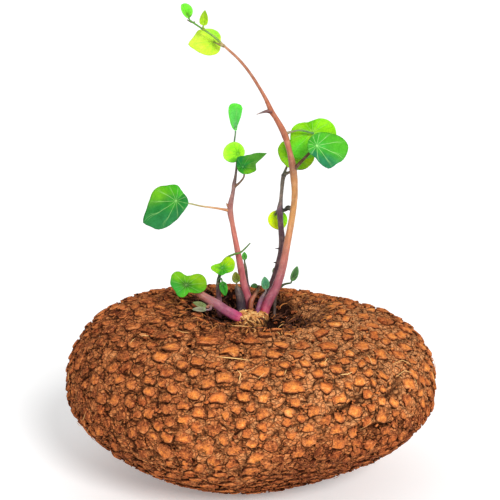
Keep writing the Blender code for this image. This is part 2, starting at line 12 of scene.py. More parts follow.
import bmesh
import bpy
import numpy as np
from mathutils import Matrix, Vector, kdtree, noise


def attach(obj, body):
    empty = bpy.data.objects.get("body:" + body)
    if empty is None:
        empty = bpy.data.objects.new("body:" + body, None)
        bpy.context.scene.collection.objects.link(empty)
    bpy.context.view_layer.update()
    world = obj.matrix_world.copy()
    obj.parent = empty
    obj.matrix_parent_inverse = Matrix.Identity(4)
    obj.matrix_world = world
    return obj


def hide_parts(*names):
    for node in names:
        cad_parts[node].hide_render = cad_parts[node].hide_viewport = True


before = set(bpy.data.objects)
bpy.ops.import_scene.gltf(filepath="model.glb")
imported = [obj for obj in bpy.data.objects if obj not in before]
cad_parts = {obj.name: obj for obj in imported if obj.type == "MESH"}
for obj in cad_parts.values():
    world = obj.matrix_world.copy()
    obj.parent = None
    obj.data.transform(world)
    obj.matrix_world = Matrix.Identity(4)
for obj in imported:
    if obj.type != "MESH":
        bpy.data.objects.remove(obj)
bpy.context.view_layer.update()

LOG = logging.getLogger("stephania")
MM = 0.001
SEED = 23
BODY = "root"

Point = tuple[float, float, float]
Colour = tuple[int, int, int]
Stops = tuple[tuple[float, Colour], ...]
Lumps = tuple[tuple[Point, float], ...]
Knots = tuple[tuple[float, float, float, float], ...]


def unit_rows(rows: np.ndarray) -> np.ndarray:
    """Scales every row to length 1."""
    return rows / np.maximum(np.linalg.norm(rows, axis=-1, keepdims=True), 1e-12)


def smooth_step(start: float, end: float, value: np.ndarray) -> np.ndarray:
    """0 up to start, 1 from end on, and a soft rise between."""
    share = np.clip((value - start) / (end - start), 0.0, 1.0)
    return share * share * (3.0 - 2.0 * share)


class Band(Enum):
    """Soft bands over the root: where each begins to count and where it counts in full, in millimetres."""

    LEFT = (-10.0, -75.0)
    RIGHT = (-10.0, 40.0)
    FRONT = (30.0, -20.0)
    MIDDLE = (28.0, 10.0)
    HIGH = (36.0, 60.0)
    UNDER_SHOULDERS = (60.0, 40.0)
    LOW = (40.0, 15.0)
    DEEP = (36.0, 20.0)
    FOOT = (16.0, 3.0)
    SLANT_LEFT = (-10.0, -55.0)
    SLANT_RIGHT = (25.0, 70.0)
    BOLD_SEAMS = (30.0, -40.0)
    SPARSE_SIDE = (5.0, 30.0)
    DARK_SIDE = (5.0, 35.0)
    BARE_SIDE = (5.0, 25.0)
    BEHIND_KNOB = (5.0, 20.0)
    MOAT_LEFT = (5.0, -5.0)
    MOAT_RIGHT = (18.0, 34.0)
    RIM_LEFT = (30.0, 0.0)
    RIM_RIGHT = (22.0, 36.0)

    def share(self, value: np.ndarray) -> np.ndarray:
        """0 up to the band's start, 1 from its end on, and a soft rise between."""
        return smooth_step(*self.value, value)


def linear(colour: Colour) -> tuple[float, float, float, float]:
    """Turns a 0 to 255 screen colour into the linear colour that a shader takes."""
    return (*(((value / 255.0 + 0.055) / 1.055) ** 2.4 for value in colour), 1.0)


def cloud(points: np.ndarray, size: float, octaves: int = 3) -> np.ndarray:
    """Soft random relief at points.

    Args:
        points: Rows of x, y, z.
        size: Width of the largest lumps, in the unit of the points.
        octaves: How many finer layers are added.

    Returns:
        One number a point, about -1 to 1.
    """
    return np.array([noise.fractal(Vector(row), 0.9, 2.1, octaves) for row in points / size])


def note(mesh: bpy.types.Mesh, name: str, values: np.ndarray) -> None:
    """Stores a number, vector or colour for every vertex.

    Args:
        mesh: The mesh that gets the attribute.
        name: The attribute's name, which a finish reads.
        values: One row a vertex, with 1, 3 or 4 numbers.
    """
    width = 1 if values.ndim == 1 else values.shape[1]
    kind, key = {1: ("FLOAT", "value"), 3: ("FLOAT_VECTOR", "vector"), 4: ("FLOAT_COLOR", "color")}[width]
    layer = mesh.attributes.new(name, kind, "POINT")
    layer.data.foreach_set(key, values.astype(np.float32).ravel())


def coordinates(mesh: bpy.types.Mesh) -> np.ndarray:
    """Reads the vertices of a mesh.

    Args:
        mesh: The mesh.

    Returns:
        Rows of x, y, z, in the mesh's own unit.
    """
    flat = np.empty(len(mesh.vertices) * 3, np.float32)
    mesh.vertices.foreach_get("co", flat)
    return flat.reshape(-1, 3).astype(float)


def write_points(mesh: bpy.types.Mesh, points: np.ndarray) -> None:
    """Moves the vertices of a mesh to points that are given in millimetres."""
    mesh.vertices.foreach_set("co", (points * MM).astype(np.float32).ravel())
    mesh.update()


def linked(name: str, data: bpy.types.ID) -> bpy.types.Object:
    """Makes an object and adds it to the scene.

    Args:
        name: The object's name.
        data: Its mesh, light or camera.

    Returns:
        The object.
    """
    made = bpy.data.objects.new(name, data)
    bpy.context.scene.collection.objects.link(made)
    return made


def finished(name: str, mesh: bpy.types.Mesh, material: bpy.types.Material) -> bpy.types.Object:
    """Makes the object of a finished mesh.

    Args:
        name: The piece's name.
        mesh: Its mesh, with its place in its vertices.
        material: Its finish.

    Returns:
        The object, shaded smooth and riding on the body.
    """
    mesh.name = name
    mesh.materials.append(material)
    mesh.shade_smooth()
    piece = linked(name, mesh)
    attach(piece, BODY)
    LOG.info("%s: %d faces", name, len(mesh.polygons))
    return piece


def repeated(blank: bmesh.types.BMesh, count: int) -> tuple[bpy.types.Mesh, np.ndarray]:
    """Joins copies of one shape in one mesh, which still lie on each other.

    Args:
        blank: The shape, which is freed.
        count: How many copies are made.

    Returns:
        The mesh, and the vertices of one copy as rows of x, y, z.
    """
    single = bpy.data.meshes.new("blank")
    blank.to_mesh(single)
    blank.free()
    corners = coordinates(single)
    many = bmesh.new()
    for _ in range(count):
        many.from_mesh(single)
    mesh = bpy.data.meshes.new("many")
    many.to_mesh(mesh)
    many.free()
    bpy.data.meshes.remove(single)
    return mesh, corners


class Value:
    """An output socket whose arithmetic adds Math nodes to its material."""

    def __init__(self, finish: "Finish", socket: bpy.types.NodeSocket) -> None:
        """Wraps one socket of one finish."""
        self.finish = finish
        self.socket = socket

    def apply(self, operation: str, *others: "Value | float", clamp: bool = False) -> "Value":
        """Adds a Math node with this value as its first input.

        Args:
            operation: The Math node's operation.
            others: Its further inputs.
            clamp: Whether the result is held between 0 and 1.

        Returns:
            The result.
        """
        settings = {"operation": operation, "use_clamp": clamp}
        return self.finish.add("ShaderNodeMath", settings, dict(enumerate((self, *others))))

    def __add__(self, other: "Value | float") -> "Value":
        """Sum."""
        return self.apply("ADD", other)

    __radd__ = __add__

    def __sub__(self, other: "Value | float") -> "Value":
        """Difference."""
        return self.apply("SUBTRACT", other)

    def __rsub__(self, other: float) -> "Value":
        """Difference from a number."""
        return (self * -1.0) + other

    def __mul__(self, other: "Value | float") -> "Value":
        """Product."""
        return self.apply("MULTIPLY", other)

    __rmul__ = __mul__

    def __truediv__(self, other: "Value | float") -> "Value":
        """Quotient."""
        return self.apply("DIVIDE", other)

    def rise(self, start: float, end: float) -> "Value":
        """Adds a soft rise from 0 to 1, or a fall where start is the larger.

        Args:
            start: Where the result is 0.
            end: Where it is 1.

        Returns:
            The result.
        """
        settings = {"interpolation_type": "SMOOTHSTEP"}
        low, high = (start, end) if start < end else (end, start)
        share = self.finish.add("ShaderNodeMapRange", settings, {"Value": self, "From Min": low, "From Max": high})
        return share if start < end else 1.0 - share


class Finish:
    """A material whose nodes are all made in one way."""

    def __init__(self, name: str, roughness: float, **constants: float) -> None:
        """Makes the material and its Principled shader.

        Args:
            name: The material's name.
            roughness: The shader's roughness where nothing drives it.
            constants: Further shader inputs that are the same all over, by name with _ for a space.
        """
        self.material = bpy.data.materials.new(name)
        self.material.use_nodes = True
        self.tree = self.material.node_tree
        self.shader = self.tree.nodes["Principled BSDF"]
        self.shader.inputs["Roughness"].default_value = roughness
        for key, value in constants.items():
            self.shader.inputs[key.replace("_", " ")].default_value = value

    def add(self, kind: str, settings: dict, inputs: dict, output: int | str = 0) -> Value:
        """Adds a node.

        Args:
            kind: The node's type.
            settings: Its properties, and "stops" for the stops of a ramp.
            inputs: Values or links for its sockets, by name or number.
            output: The output that is wanted.

        Returns:
            That output.
        """
        node = self.tree.nodes.new(kind)
        for key, value in settings.items():
            if key == "stops":
                self._set_stops(node.color_ramp, value)
            else:
                setattr(node, key, value)
        for key, value in inputs.items():
            if isinstance(value, Value):
                self.tree.links.new(value.socket, node.inputs[key])
            else:
                node.inputs[key].default_value = value
        return Value(self, node.outputs[output])

    @staticmethod
    def _set_stops(ramp: bpy.types.ColorRamp, stops: Stops) -> None:
        """Gives a ramp its stops.

        Args:
            ramp: The ramp of a new node.
            stops: Places from 0 to 1, each with its screen colour.
        """
        while len(ramp.elements) < len(stops):
            ramp.elements.new(1.0)
        for element, (place, colour) in zip(ramp.elements, stops):
            element.position = place
            element.color = linear(colour)

    def attribute(self, name: str, output: str = "Fac") -> Value:
        """Reads an attribute of the mesh."""
        return self.add("ShaderNodeAttribute", {"attribute_name": name}, {}, output)

    def place(self) -> Value:
        """The object's own coordinates, in metres."""
        return self.add("ShaderNodeTexCoord", {}, {}, "Object")

    def grain(self, size: float, detail: float = 3.0, vector: Value | None = None, rough: float = 0.6) -> Value:
        """Adds cloudy noise.

        Args:
            size: Width of its lumps in millimetres, or in the vector's own unit.
            detail: How many finer layers it has.
            vector: Coordinates other than the object's own.
            rough: How strong the finer layers are.

        Returns:
            The noise, about 0 to 1.
        """
        scale = 1.0 / (size * MM) if vector is None else 1.0 / size
        inputs = {"Vector": vector or self.place(), "Scale": scale, "Detail": detail, "Roughness": rough}
        return self.add("ShaderNodeTexNoise", {}, inputs)

    def warped(self, size: float, amount: float, squat: float = 1.0) -> Value:
        """The object's own coordinates, pushed about by noise.

        Args:
            size: Width of the swirls in millimetres.
            amount: How far they push, in millimetres.
            squat: How much shorter upright distances count.

        Returns:
            The vector.
        """
        place = self.place()
        inputs = {"Vector": place, "Scale": 1.0 / (size * MM), "Detail": 2.0}
        swirl = self.add("ShaderNodeTexNoise", {}, inputs, "Color")
        centred = self.add("ShaderNodeVectorMath", {"operation": "SUBTRACT"}, {0: swirl, 1: (0.5, 0.5, 0.5)})
        far = (2.0 * amount * MM,) * 3
        pushed = self.add("ShaderNodeVectorMath", {"operation": "MULTIPLY_ADD"}, {0: centred, 1: far, 2: place})
        return self.add("ShaderNodeVectorMath", {"operation": "MULTIPLY"}, {0: pushed, 1: (1.0, 1.0, squat)})

    def cells(self, size: float, vector: Value | None = None, metric: bool = False) -> Value:
        """Distance to the edges of irregular cells, 0 on an edge.

        Args:
            size: Width of the cells in millimetres, or in the vector's own unit.
            vector: Coordinates other than the object's own.
            metric: Whether these are in metres too.

        Returns:
            The distance as a share of the size.
        """
        scale = 1.0 / (size * MM) if vector is None or metric else 1.0 / size
        return self.add("ShaderNodeTexVoronoi", {"feature": "DISTANCE_TO_EDGE"},
                        {"Vector": vector or self.place(), "Scale": scale})

    def patches(self, size: float, vector: Value) -> Value:
        """Flat patches of random level 0 to 1, with the outlines that cells of the same size have."""
        colour = self.add("ShaderNodeTexVoronoi", {}, {"Vector": vector, "Scale": 1.0 / (size * MM)}, "Color")
        return self.add("ShaderNodeSeparateColor", {}, {"Color": colour}, "Red")

    def ramp(self, value: Value, *stops: tuple[float, Colour]) -> Value:
        """Colours a value by stops."""
        return self.add("ShaderNodeValToRGB", {"stops": stops}, {"Fac": value}, "Color")

    def mix(self, share: Value | float, low: Value | Colour, high: Value | Colour, blend: str = "MIX") -> Value:
        """Mixes two colours.

        Args:
            share: How much of the second shows.
            low: The first colour.
            high: The second colour.
            blend: The blend type.

        Returns:
            The mixed colour.
        """
        ends = {6: low, 7: high}
        inputs = {key: end if isinstance(end, Value) else linear(end) for key, end in ends.items()}
        return self.add("ShaderNodeMix", {"data_type": "RGBA", "blend_type": blend}, {0: share, **inputs}, 2)

    def colour(self, value: Value) -> None:
        """Feeds the base colour."""
        self.tree.links.new(value.socket, self.shader.inputs["Base Color"])

    def roughness(self, value: Value) -> None:
        """Feeds the roughness."""
        self.tree.links.new(value.socket, self.shader.inputs["Roughness"])

    def bump(self, height: Value, depth: float) -> None:
        """Raises fine relief.

        Args:
            height: How high the relief is.
            depth: How many millimetres lie between heights 0 and 1.
        """
        inputs = {"Height": height, "Distance": depth * MM, "Strength": 1.0}
        normal = self.add("ShaderNodeBump", {}, inputs, "Normal")
        self.tree.links.new(normal.socket, self.shader.inputs["Normal"])


@dataclass(frozen=True)
class BarkTones:
    """Tones that the scales and the ground of the bark share."""

    rough: Stops = ((0.0, (62, 25, 12)), (0.20, (116, 61, 38)), (0.42, (174, 98, 58)), (0.62, (209, 125, 70)),
                    (0.82, (218, 138, 82)), (1.0, (230, 158, 102)))
    worn: Stops = ((0.0, (98, 48, 27)), (0.22, (152, 84, 48)), (0.45, (198, 114, 61)), (0.68, (232, 140, 66)),
                   (0.88, (248, 164, 84)), (1.0, (255, 192, 116)))
    # The crack colour also paints shade: in the seams and creases of the ground and as a shadow under each scale's
    # lower lip.
    crack: Colour = (46, 18, 9)


@dataclass(frozen=True)
class CorkFinish:
    """Dry cork of the raised scales: worn orange, mottled, with torn brown edges and a painted shadow under each lower
    lip.
    """

    name: str = "cork scales"
    mottle: float = 1.7
    grit: float = 0.55
    depth: float = 0.9
    blush: Colour = (216, 132, 104)
    tones: BarkTones = BarkTones()

    def make(self) -> bpy.types.Material:
        """Builds the material, which reads the tone and the share of torn edge and painted shadow from the mesh.

        Returns:
            The material.
        """
        finish = Finish(self.name, 0.9, Specular_IOR_Level=0.05)
        tone = finish.attribute("tone")
        rim = finish.attribute("rim")
        mottle = finish.grain(self.mottle, 3.0) - 0.5
        grit = finish.grain(self.grit, 3.0, rough=0.7) - 0.5
        chips = finish.patches(1.5, finish.warped(2.0, 0.6, 1.5)) - 0.5
        worn = finish.ramp(tone + mottle * 1.2 + grit * 1.1 + chips * 0.16 + 0.14 - rim * 0.46, *self.tones.worn)
        rough = finish.ramp(tone * 0.4 + mottle * 0.9 + grit * 1.5 + chips * 0.5 + 0.27, *self.tones.rough)
        torn = (rim + mottle * 1.3 + grit * 0.8).rise(0.46, 0.60)
        skin = finish.mix(torn, worn, rough)
        skin = finish.mix(finish.grain(9.0, 2.0).rise(0.42, 0.7) * 0.3, skin, self.blush, "MULTIPLY")
        # Painted shadow: the wall and foot ring of a scale take the crack colour, most under its lower lip.
        finish.colour(finish.mix((rim + grit * 0.5).rise(0.90, 1.08) * 0.86, skin, self.tones.crack))
        finish.roughness(0.95 - grit * 0.3)
        finish.bump(mottle * 0.5 + grit * 0.6 + chips * 0.12, self.depth)
        return finish.material


@dataclass(frozen=True)
class GroundFinish:
    """Rough scabby bark between the scales, with painted shade in the crown hollow, dark seams and creases that are
    partly painted shade, and pale wood on the knob.
    """

    name: str = "under bark"
    lump: float = 2.0
    crumb: float = 0.58
    crack: float = 5.6
    hairline: float = 2.1
    depth: float = 1.1
    shade: Colour = (80, 38, 26)
    # Painted shade of the crown hollow, from near black to dark brown.
    hollow_shade: Stops = ((0.36, (16, 8, 7)), (0.60, (54, 29, 20)), (0.80, (112, 63, 41)))
    straw: Stops = ((0.1, (98, 50, 26)), (0.45, (184, 114, 60)), (0.8, (246, 182, 108)))
    tones: BarkTones = BarkTones()

    def make(self) -> bpy.types.Material:
        """Builds the material, which reads the seams, the painted shade of the hollow, the bare wood and the tone from
        the mesh.

        Returns:
            The material.
        """
        finish = Finish(self.name, 0.92, Specular_IOR_Level=0.05)
        seam, moat, wood, tone = (finish.attribute(name) for name in ("seam", "moat", "wood", "tone"))
        lump = finish.grain(self.lump, 3.0) - 0.5
        crumb = finish.grain(self.crumb, 4.0, rough=0.7) - 0.5
        warped = finish.warped(4.0, 1.6, 1.35)
        broken = finish.grain(5.0, 2.0).rise(0.36, 0.56)
        crack = finish.cells(self.crack, warped, True).rise(0.085, 0.015) * broken
        hairline = finish.cells(self.hairline, warped, True).rise(0.12, 0.02)
        chips = finish.patches(self.hairline, warped) - 0.5
        level = tone + lump * 0.8 + crumb * 1.5 + chips * 0.42
        bark = finish.ramp(level, *self.tones.rough)
        bark = finish.mix(hairline * 0.6, bark, self.shade)
        bark = finish.mix(crack * 0.85, bark, self.tones.crack)
        # Painted shade in the sunk seams and creases, laid over the bark's own dark cracks.
        cracked = finish.mix(seam * 0.9, bark, self.tones.crack)
        # Painted shade in the crown hollow round the knob.
        dark = finish.mix(moat, cracked, finish.ramp(crumb + 0.5, *self.hollow_shade))
        finish.colour(finish.mix(wood, dark, finish.ramp(level, *self.straw)))
        finish.bump(lump * 0.4 + crumb * 0.6 - crack * 0.5 - hairline * 0.3 + chips * 0.25, self.depth)
        return finish.material


@dataclass(frozen=True)
class FibreFinish:
    """Dry fibres and shreds, from dark brown to straw."""

    name: str = "dry fibre"
    tones: Stops = ((0.0, (24, 10, 8)), (0.3, (92, 48, 28)), (0.6, (194, 122, 60)), (1.0, (250, 208, 136)))

    def make(self) -> bpy.types.Material:
        """Builds the material, which reads tone from the mesh.

        Returns:
            The material.
        """
        finish = Finish(self.name, 0.8, Specular_IOR_Level=0.3)
        level = finish.attribute("tone") + (finish.grain(0.9) - 0.5) * 0.4
        finish.colour(finish.ramp(level, *self.tones))
        finish.bump(finish.grain(0.3), 0.15)
        return finish.material


@dataclass(frozen=True)
class StemFinish:
    """Tender skin of a vine shoot, with fine streaks along it and pale freckles."""

    name: str = "shoot skin"
    streak: float = 0.9
    patch: float = 3.2
    freckle: float = 0.385
    shade: Colour = (70, 34, 40)
    bloom: Colour = (255, 214, 190)
    pale: Colour = (250, 226, 205)

    def make(self) -> bpy.types.Material:
        """Builds the material, which reads skin and around from the mesh.

        Returns:
            The material.
        """
        finish = Finish(self.name, 0.45, Specular_IOR_Level=0.45, Subsurface_Weight=0.12, Subsurface_Scale=0.002)
        skin = finish.attribute("skin", "Color")
        around = finish.attribute("around", "Vector")
        streak = finish.grain(self.streak, 3.0, around)
        patch = finish.grain(self.patch, 2.0)
        freckle = finish.grain(self.freckle, 1.0).rise(0.66, 0.74)
        shade = finish.mix(streak.rise(0.35, 0.7) * 0.35, skin, self.shade, "MULTIPLY")
        light = finish.mix(patch.rise(0.45, 0.75) * 0.12, shade, self.bloom)
        finish.colour(finish.mix(freckle * 0.14, light, self.pale))
        finish.roughness(0.36 + streak * 0.22)
        finish.bump(streak * 0.7 + patch * 0.3, 0.12)
        return finish.material


@dataclass(frozen=True)
class LeafFinish:
    """Thin blade with fine veins that radiate from its hub, fork near the margin and end in a net."""

    name: str = "leaf blade"
    veins: int = 11
    width: float = 0.22
    fork_from: float = 0.42
    fork_spread: float = 0.24
    net: float = 1.5
    pale: Colour = (190, 250, 150)
    olive: Colour = (60, 100, 30)
    deep: Colour = (20, 90, 20)
    meshes: Colour = (40, 120, 50)

    def make(self) -> bpy.types.Material:
        """Builds the material, which reads blade, flat and vein from the mesh.

        Returns:
            The material.
        """
        finish = Finish(self.name, 0.55, Specular_IOR_Level=0.12)
        blade = finish.attribute("blade", "Color")
        contrast = finish.attribute("vein")
        flat = finish.attribute("flat", "Vector")
        run, side, share = (finish.add("ShaderNodeSeparateXYZ", {}, {0: flat}, axis) for axis in "XYZ")
        wander = finish.grain(9.0, 1.0, flat) - 0.5
        reach = (run * run + side * side).apply("SQRT")
        turn = side.apply("ARCTAN2", run) / (2.0 * math.pi) * self.veins + wander * 0.5
        off = 0.5 - (turn.apply("FLOORED_MODULO", 1.0) - 0.5).apply("ABSOLUTE")
        arc = 2.0 * math.pi / self.veins
        main = (off * arc * reach).rise(self.width, self.width * 0.3) * share.rise(1.25, 0.35)
        split = (share - self.fork_from).apply("MAXIMUM", 0.0) * self.fork_spread
        fork = ((off - split).apply("ABSOLUTE") * arc * reach).rise(self.width * 0.6, self.width * 0.15)
        fork = fork * share.rise(self.fork_from, self.fork_from + 0.1) * share.rise(1.05, 0.7)
        net = finish.cells(self.net, flat).rise(0.10, 0.02)
        vein = main.apply("MAXIMUM", fork * 0.5)
        cloudy = finish.grain(3.2, 3.0, flat)
        fine = finish.grain(0.7, 3.0, flat)
        ground = finish.mix(cloudy.rise(0.35, 0.75) * 0.4, blade, self.olive, "SOFT_LIGHT")
        ground = finish.mix(fine.rise(0.4, 0.7) * 0.14, ground, self.deep, "MULTIPLY")
        ground = finish.mix(net * 0.12, ground, self.meshes, "MULTIPLY")
        finish.colour(finish.mix(vein * contrast, ground, finish.mix(0.6, blade, self.pale)))
        finish.roughness(0.45 + cloudy * 0.2)
        finish.bump(0.9 - vein * 0.7 + net * 0.2 + fine * 0.3, 0.25)
        return finish.material


@dataclass(frozen=True)
class RootForm:
    """Form of the storage root: a rounded body with a crown hollow and a woody knob in it."""

    half_width: float = 85.7
    half_depth: float = 78.0
    half_top: float = 45.4
    half_bottom: float = 45.2
    centre: Point = (8.0, 0.0, 41.8)
    top_fullness: float = 2.74
    bottom_fullness: float = 1.56
    thicker_left: float = 0.08
    shoulders: Lumps = (((-0.80, 0.10, 0.60), 0.062), ((0.90, 0.10, 0.50), 0.058))
    shoulder_spread: float = 0.35
    swells: Lumps = (((0.30, -0.90, -0.25), -0.022), ((-0.45, -0.85, 0.10), 0.018), ((0.05, 0.95, 0.20), -0.020),
                     ((0.80, 0.00, -0.60), 0.023), ((-0.80, 0.00, -0.60), 0.011))
    swell_spread: float = 0.28
    thick_bark: Lumps = (((-1.0, 0.0, 0.03), 0.026), ((0.88, -0.24, -0.40), 0.046), ((0.85, 0.05, 0.42), 0.014))
    thick_spread: float = 0.17
    hollow_at: tuple[float, float] = (11.0, -5.0)
    hollow_radii: tuple[float, float] = (33.0, 28.0)
    hollow_depth: float = 9.5
    knob_at: tuple[float, float] = (9.0, -3.0)
    knob_radius: float = 10.0
    knob_height: float = 5.2
    wood_at: tuple[float, float] = (6.0, -4.5)
    wood_radii: tuple[float, float] = (9.0, 9.0)
    level_near_rest: float = 4.0
    crown_level: float = 55.0
    rim_level: float = 60.0
    normal_step: float = 0.008
    downhill_pull: float = -40.0

    def hollow_share(self, x: np.ndarray, y: np.ndarray) -> np.ndarray:
        """0 in the middle of the crown hollow and 1 at its edge."""
        return np.hypot((x - self.hollow_at[0]) / self.hollow_radii[0], (y - self.hollow_at[1]) / self.hollow_radii[1])

    def knob_share(self, x: np.ndarray, y: np.ndarray) -> np.ndarray:
        """0 in the middle of the woody knob and 1 at its foot."""
        return np.hypot(x - self.knob_at[0], y - self.knob_at[1]) / self.knob_radius

    def wood_share(self, x: np.ndarray, y: np.ndarray) -> np.ndarray:
        """0 in the middle of the bare wood and 1 at its edge."""
        return np.hypot((x - self.wood_at[0]) / self.wood_radii[0], (y - self.wood_at[1]) / self.wood_radii[1])

    def sink(self, x: np.ndarray, y: np.ndarray) -> np.ndarray:
        """How far the crown lies below the dome, less the rise of the knob."""
        hollow = self.hollow_depth * (1.0 - smooth_step(0.5, 1.1, self.hollow_share(x, y)))
        return hollow - self.knob_height * (1.0 - smooth_step(0.6, 1.1, self.knob_share(x, y)))

    @staticmethod
    def bulge(ways: np.ndarray, places: Lumps, spread: float) -> np.ndarray:
        """Adds up soft bumps.

        Args:
            ways: Unit vectors from the body's centre.
            places: The way to each bump and its height as a share of the radius.
            spread: How wide the bumps are.

        Returns:
            The share by which the body swells along each way.
        """
        total = np.zeros(len(ways))
        for place, height in places:
            middle = np.array(place) / np.linalg.norm(place)
            total += height * np.exp((ways @ middle - 1.0) / spread**2)
        return total

    def surface(self, ways: np.ndarray) -> np.ndarray:
        """Finds points of the smooth surface.

        Args:
            ways: Unit vectors from the body's centre.

        Returns:
            Rows of x, y, z, one a way.
        """
        half = np.where(ways[:, 2] >= 0.0, self.half_top, self.half_bottom) * (1.0 - self.thicker_left * ways[:, 0])
        fullness = np.where(ways[:, 2] >= 0.0, self.top_fullness, self.bottom_fullness)
        across = np.hypot(ways[:, 0] / self.half_width, ways[:, 1] / self.half_depth)
        reach = (across**fullness + (np.abs(ways[:, 2]) / half) ** fullness) ** (-1.0 / fullness)
        for lumps, spread in ((self.shoulders, self.shoulder_spread), (self.swells, self.swell_spread),
                              (self.thick_bark, self.thick_spread)):
            reach *= 1.0 + self.bulge(ways, lumps, spread)
        points = ways * reach[:, None] + np.array(self.centre)
        points[:, 2] -= np.where(ways[:, 2] > 0.0, self.sink(points[:, 0], points[:, 1]), 0.0)
        return points

    def scattered(self, seats: np.ndarray) -> np.ndarray:
        """Points of the surface that lie as evenly on it as unit vectors lie on a ball."""
        stretch = np.array([self.half_width, self.half_depth, self.half_top])
        return self.surface(unit_rows(seats * stretch))

    def on_crown(self, middle: tuple[float, float], radii: tuple[float, float], turn: np.ndarray,
                 share: np.ndarray, height: float) -> np.ndarray:
        """Finds points of the crown's surface.

        Args:
            middle: Middle of an ellipse in x, y.
            radii: Its half width and half depth.
            turn: Turn of each point round the middle.
            share: Distance of each from the middle, 1 on the ellipse.
            height: A height near the surface.

        Returns:
            Rows of x, y, z.
        """
        x = middle[0] + share * radii[0] * np.cos(turn)
        y = middle[1] + share * radii[1] * np.sin(turn)
        return self.surface(self.ways_to(np.column_stack([x, y, np.full(len(turn), height)])))

    def ways_to(self, points: np.ndarray) -> np.ndarray:
        """Turns places into ways.

        Args:
            points: Rows on or near the surface.

        Returns:
            Unit vectors from the body's centre to them.
        """
        lifted = points - np.array(self.centre)
        lifted[:, 2] += np.where(lifted[:, 2] > 0.0, self.sink(points[:, 0], points[:, 1]), 0.0)
        return unit_rows(lifted)

    def normals(self, ways: np.ndarray) -> np.ndarray:
        """Finds the unit normals of the smooth surface, from two short steps along it.

        Args:
            ways: Unit vectors from the body's centre.

        Returns:
            Rows of x, y, z, one a way.
        """
        helper = np.where(np.abs(ways[:, 2:3]) > 0.9, [[1.0, 0.0, 0.0]], [[0.0, 0.0, 1.0]])
        first = unit_rows(np.cross(helper, ways))
        sides = [self.normal_step * way for way in (first, np.cross(ways, first))]
        along, over = (self.surface(unit_rows(ways + side)) - self.surface(unit_rows(ways - side)) for side in sides)
        return unit_rows(np.cross(along, over))

    def lay(self, points: np.ndarray, lift: np.ndarray) -> np.ndarray:
        """Brings points to a height above the surface.

        Args:
            points: Rows near the surface.
            lift: Height of each above it, which fades out towards the flat rest spot.

        Returns:
            The points, never lower than the rest spot.
        """
        ways = self.ways_to(points)
        ground = self.surface(ways)
        placed = ground + self.normals(ways) * (lift * smooth_step(0.0, self.level_near_rest, ground[:, 2]))[:, None]
        placed[:, 2] = np.maximum(placed[:, 2], 0.0)
        return placed

    def top_at(self, x: float, y: float) -> float:
        """Finds how high the crown is.

        Args:
            x: Place across.
            y: Place in depth.

        Returns:
            Height of its surface there.
        """
        offset = np.array([[x - self.centre[0], y - self.centre[1], self.half_top]])
        for _ in range(30):
            way = unit_rows(offset)
            here = self.surface(way)[0]
            bare = here[2] + self.sink(here[0], here[1]) - self.centre[2]
            offset[0, 2] = bare * np.linalg.norm(offset[0, :2]) / max(np.hypot(*(here[:2] - self.centre[:2])), 1e-6)
        return float(offset[0, 2] + self.centre[2] - self.sink(x, y))

    def frames(self, points: np.ndarray) -> tuple[np.ndarray, np.ndarray, np.ndarray]:
        """Finds how the surface lies under points.

        Args:
            points: Rows on or near the surface.

        Returns:
            Its level, downhill and outward unit vectors, where downhill also means away from the crown.
        """
        outward = self.normals(self.ways_to(points))
        away = points - np.array([*self.hollow_at, self.centre[2]])
        away[:, 2] = self.downhill_pull
        downhill = unit_rows(away - outward * np.sum(away * outward, axis=1, keepdims=True))
        return np.cross(downhill, outward), downhill, outward


def blank_plate(sides: int, insets: tuple[float, ...]) -> bmesh.types.BMesh:
    """Makes a closed round plate of radius 1 whose top, at height 1, has rings inset in it.

    Args:
        sides: How many sides it has.
        insets: Width of each ring, from the edge inwards.

    Returns:
        The plate, with a middle point in its top.
    """
    plate = bmesh.new()
    bmesh.ops.create_circle(plate, segments=sides, radius=1.0, cap_ends=True)
    raised = bmesh.ops.extrude_face_region(plate, geom=plate.faces[:], use_keep_orig=True)["geom"]
    top = [item for item in raised if isinstance(item, bmesh.types.BMFace)]
    bmesh.ops.translate(plate, verts=top[0].verts[:], vec=(0.0, 0.0, 1.0))
    for inset in insets:
        bmesh.ops.inset_individual(plate, faces=top, thickness=inset)
    bmesh.ops.poke(plate, faces=top)
    bmesh.ops.recalc_face_normals(plate, faces=plate.faces)
    return plate


@dataclass(frozen=True)
class PlateParts:
    """Which ring and which side of a blank plate each of its vertices belongs to."""

    ring: np.ndarray
    side: np.ndarray
    turn: np.ndarray

    @classmethod
    def of(cls, corner: np.ndarray, sides: int) -> "PlateParts":
        """Sorts a blank's vertices.

        Args:
            corner: Its vertices.
            sides: How many sides it has.

        Returns:
            The sorting, with ring 0 in the middle of the top and the highest ring at the buried foot.
        """
        radius = np.where(corner[:, 2] > 0.5, np.hypot(corner[:, 0], corner[:, 1]), 2.0)
        ring = np.unique(radius.round(3), return_inverse=True)[1]
        step = 2.0 * math.pi / sides
        side = np.rint(np.arctan2(corner[:, 1], corner[:, 0]) / step).astype(int) % sides
        return cls(ring, side, side * step)


@dataclass(frozen=True)
class Camera:
    """The photograph's camera: place, lens and sensor in millimetres, pitch in degrees, side of its square frame."""

    at: Point = (7.0, -638.05, 274.93)
    pitch: float = 14.18
    lens: float = 100.0
    sensor: float = 36.0
    frame_side: float = 500.0

    def focus(self) -> float:
        """Focal length in units of the frame."""
        return self.frame_side * self.lens / self.sensor


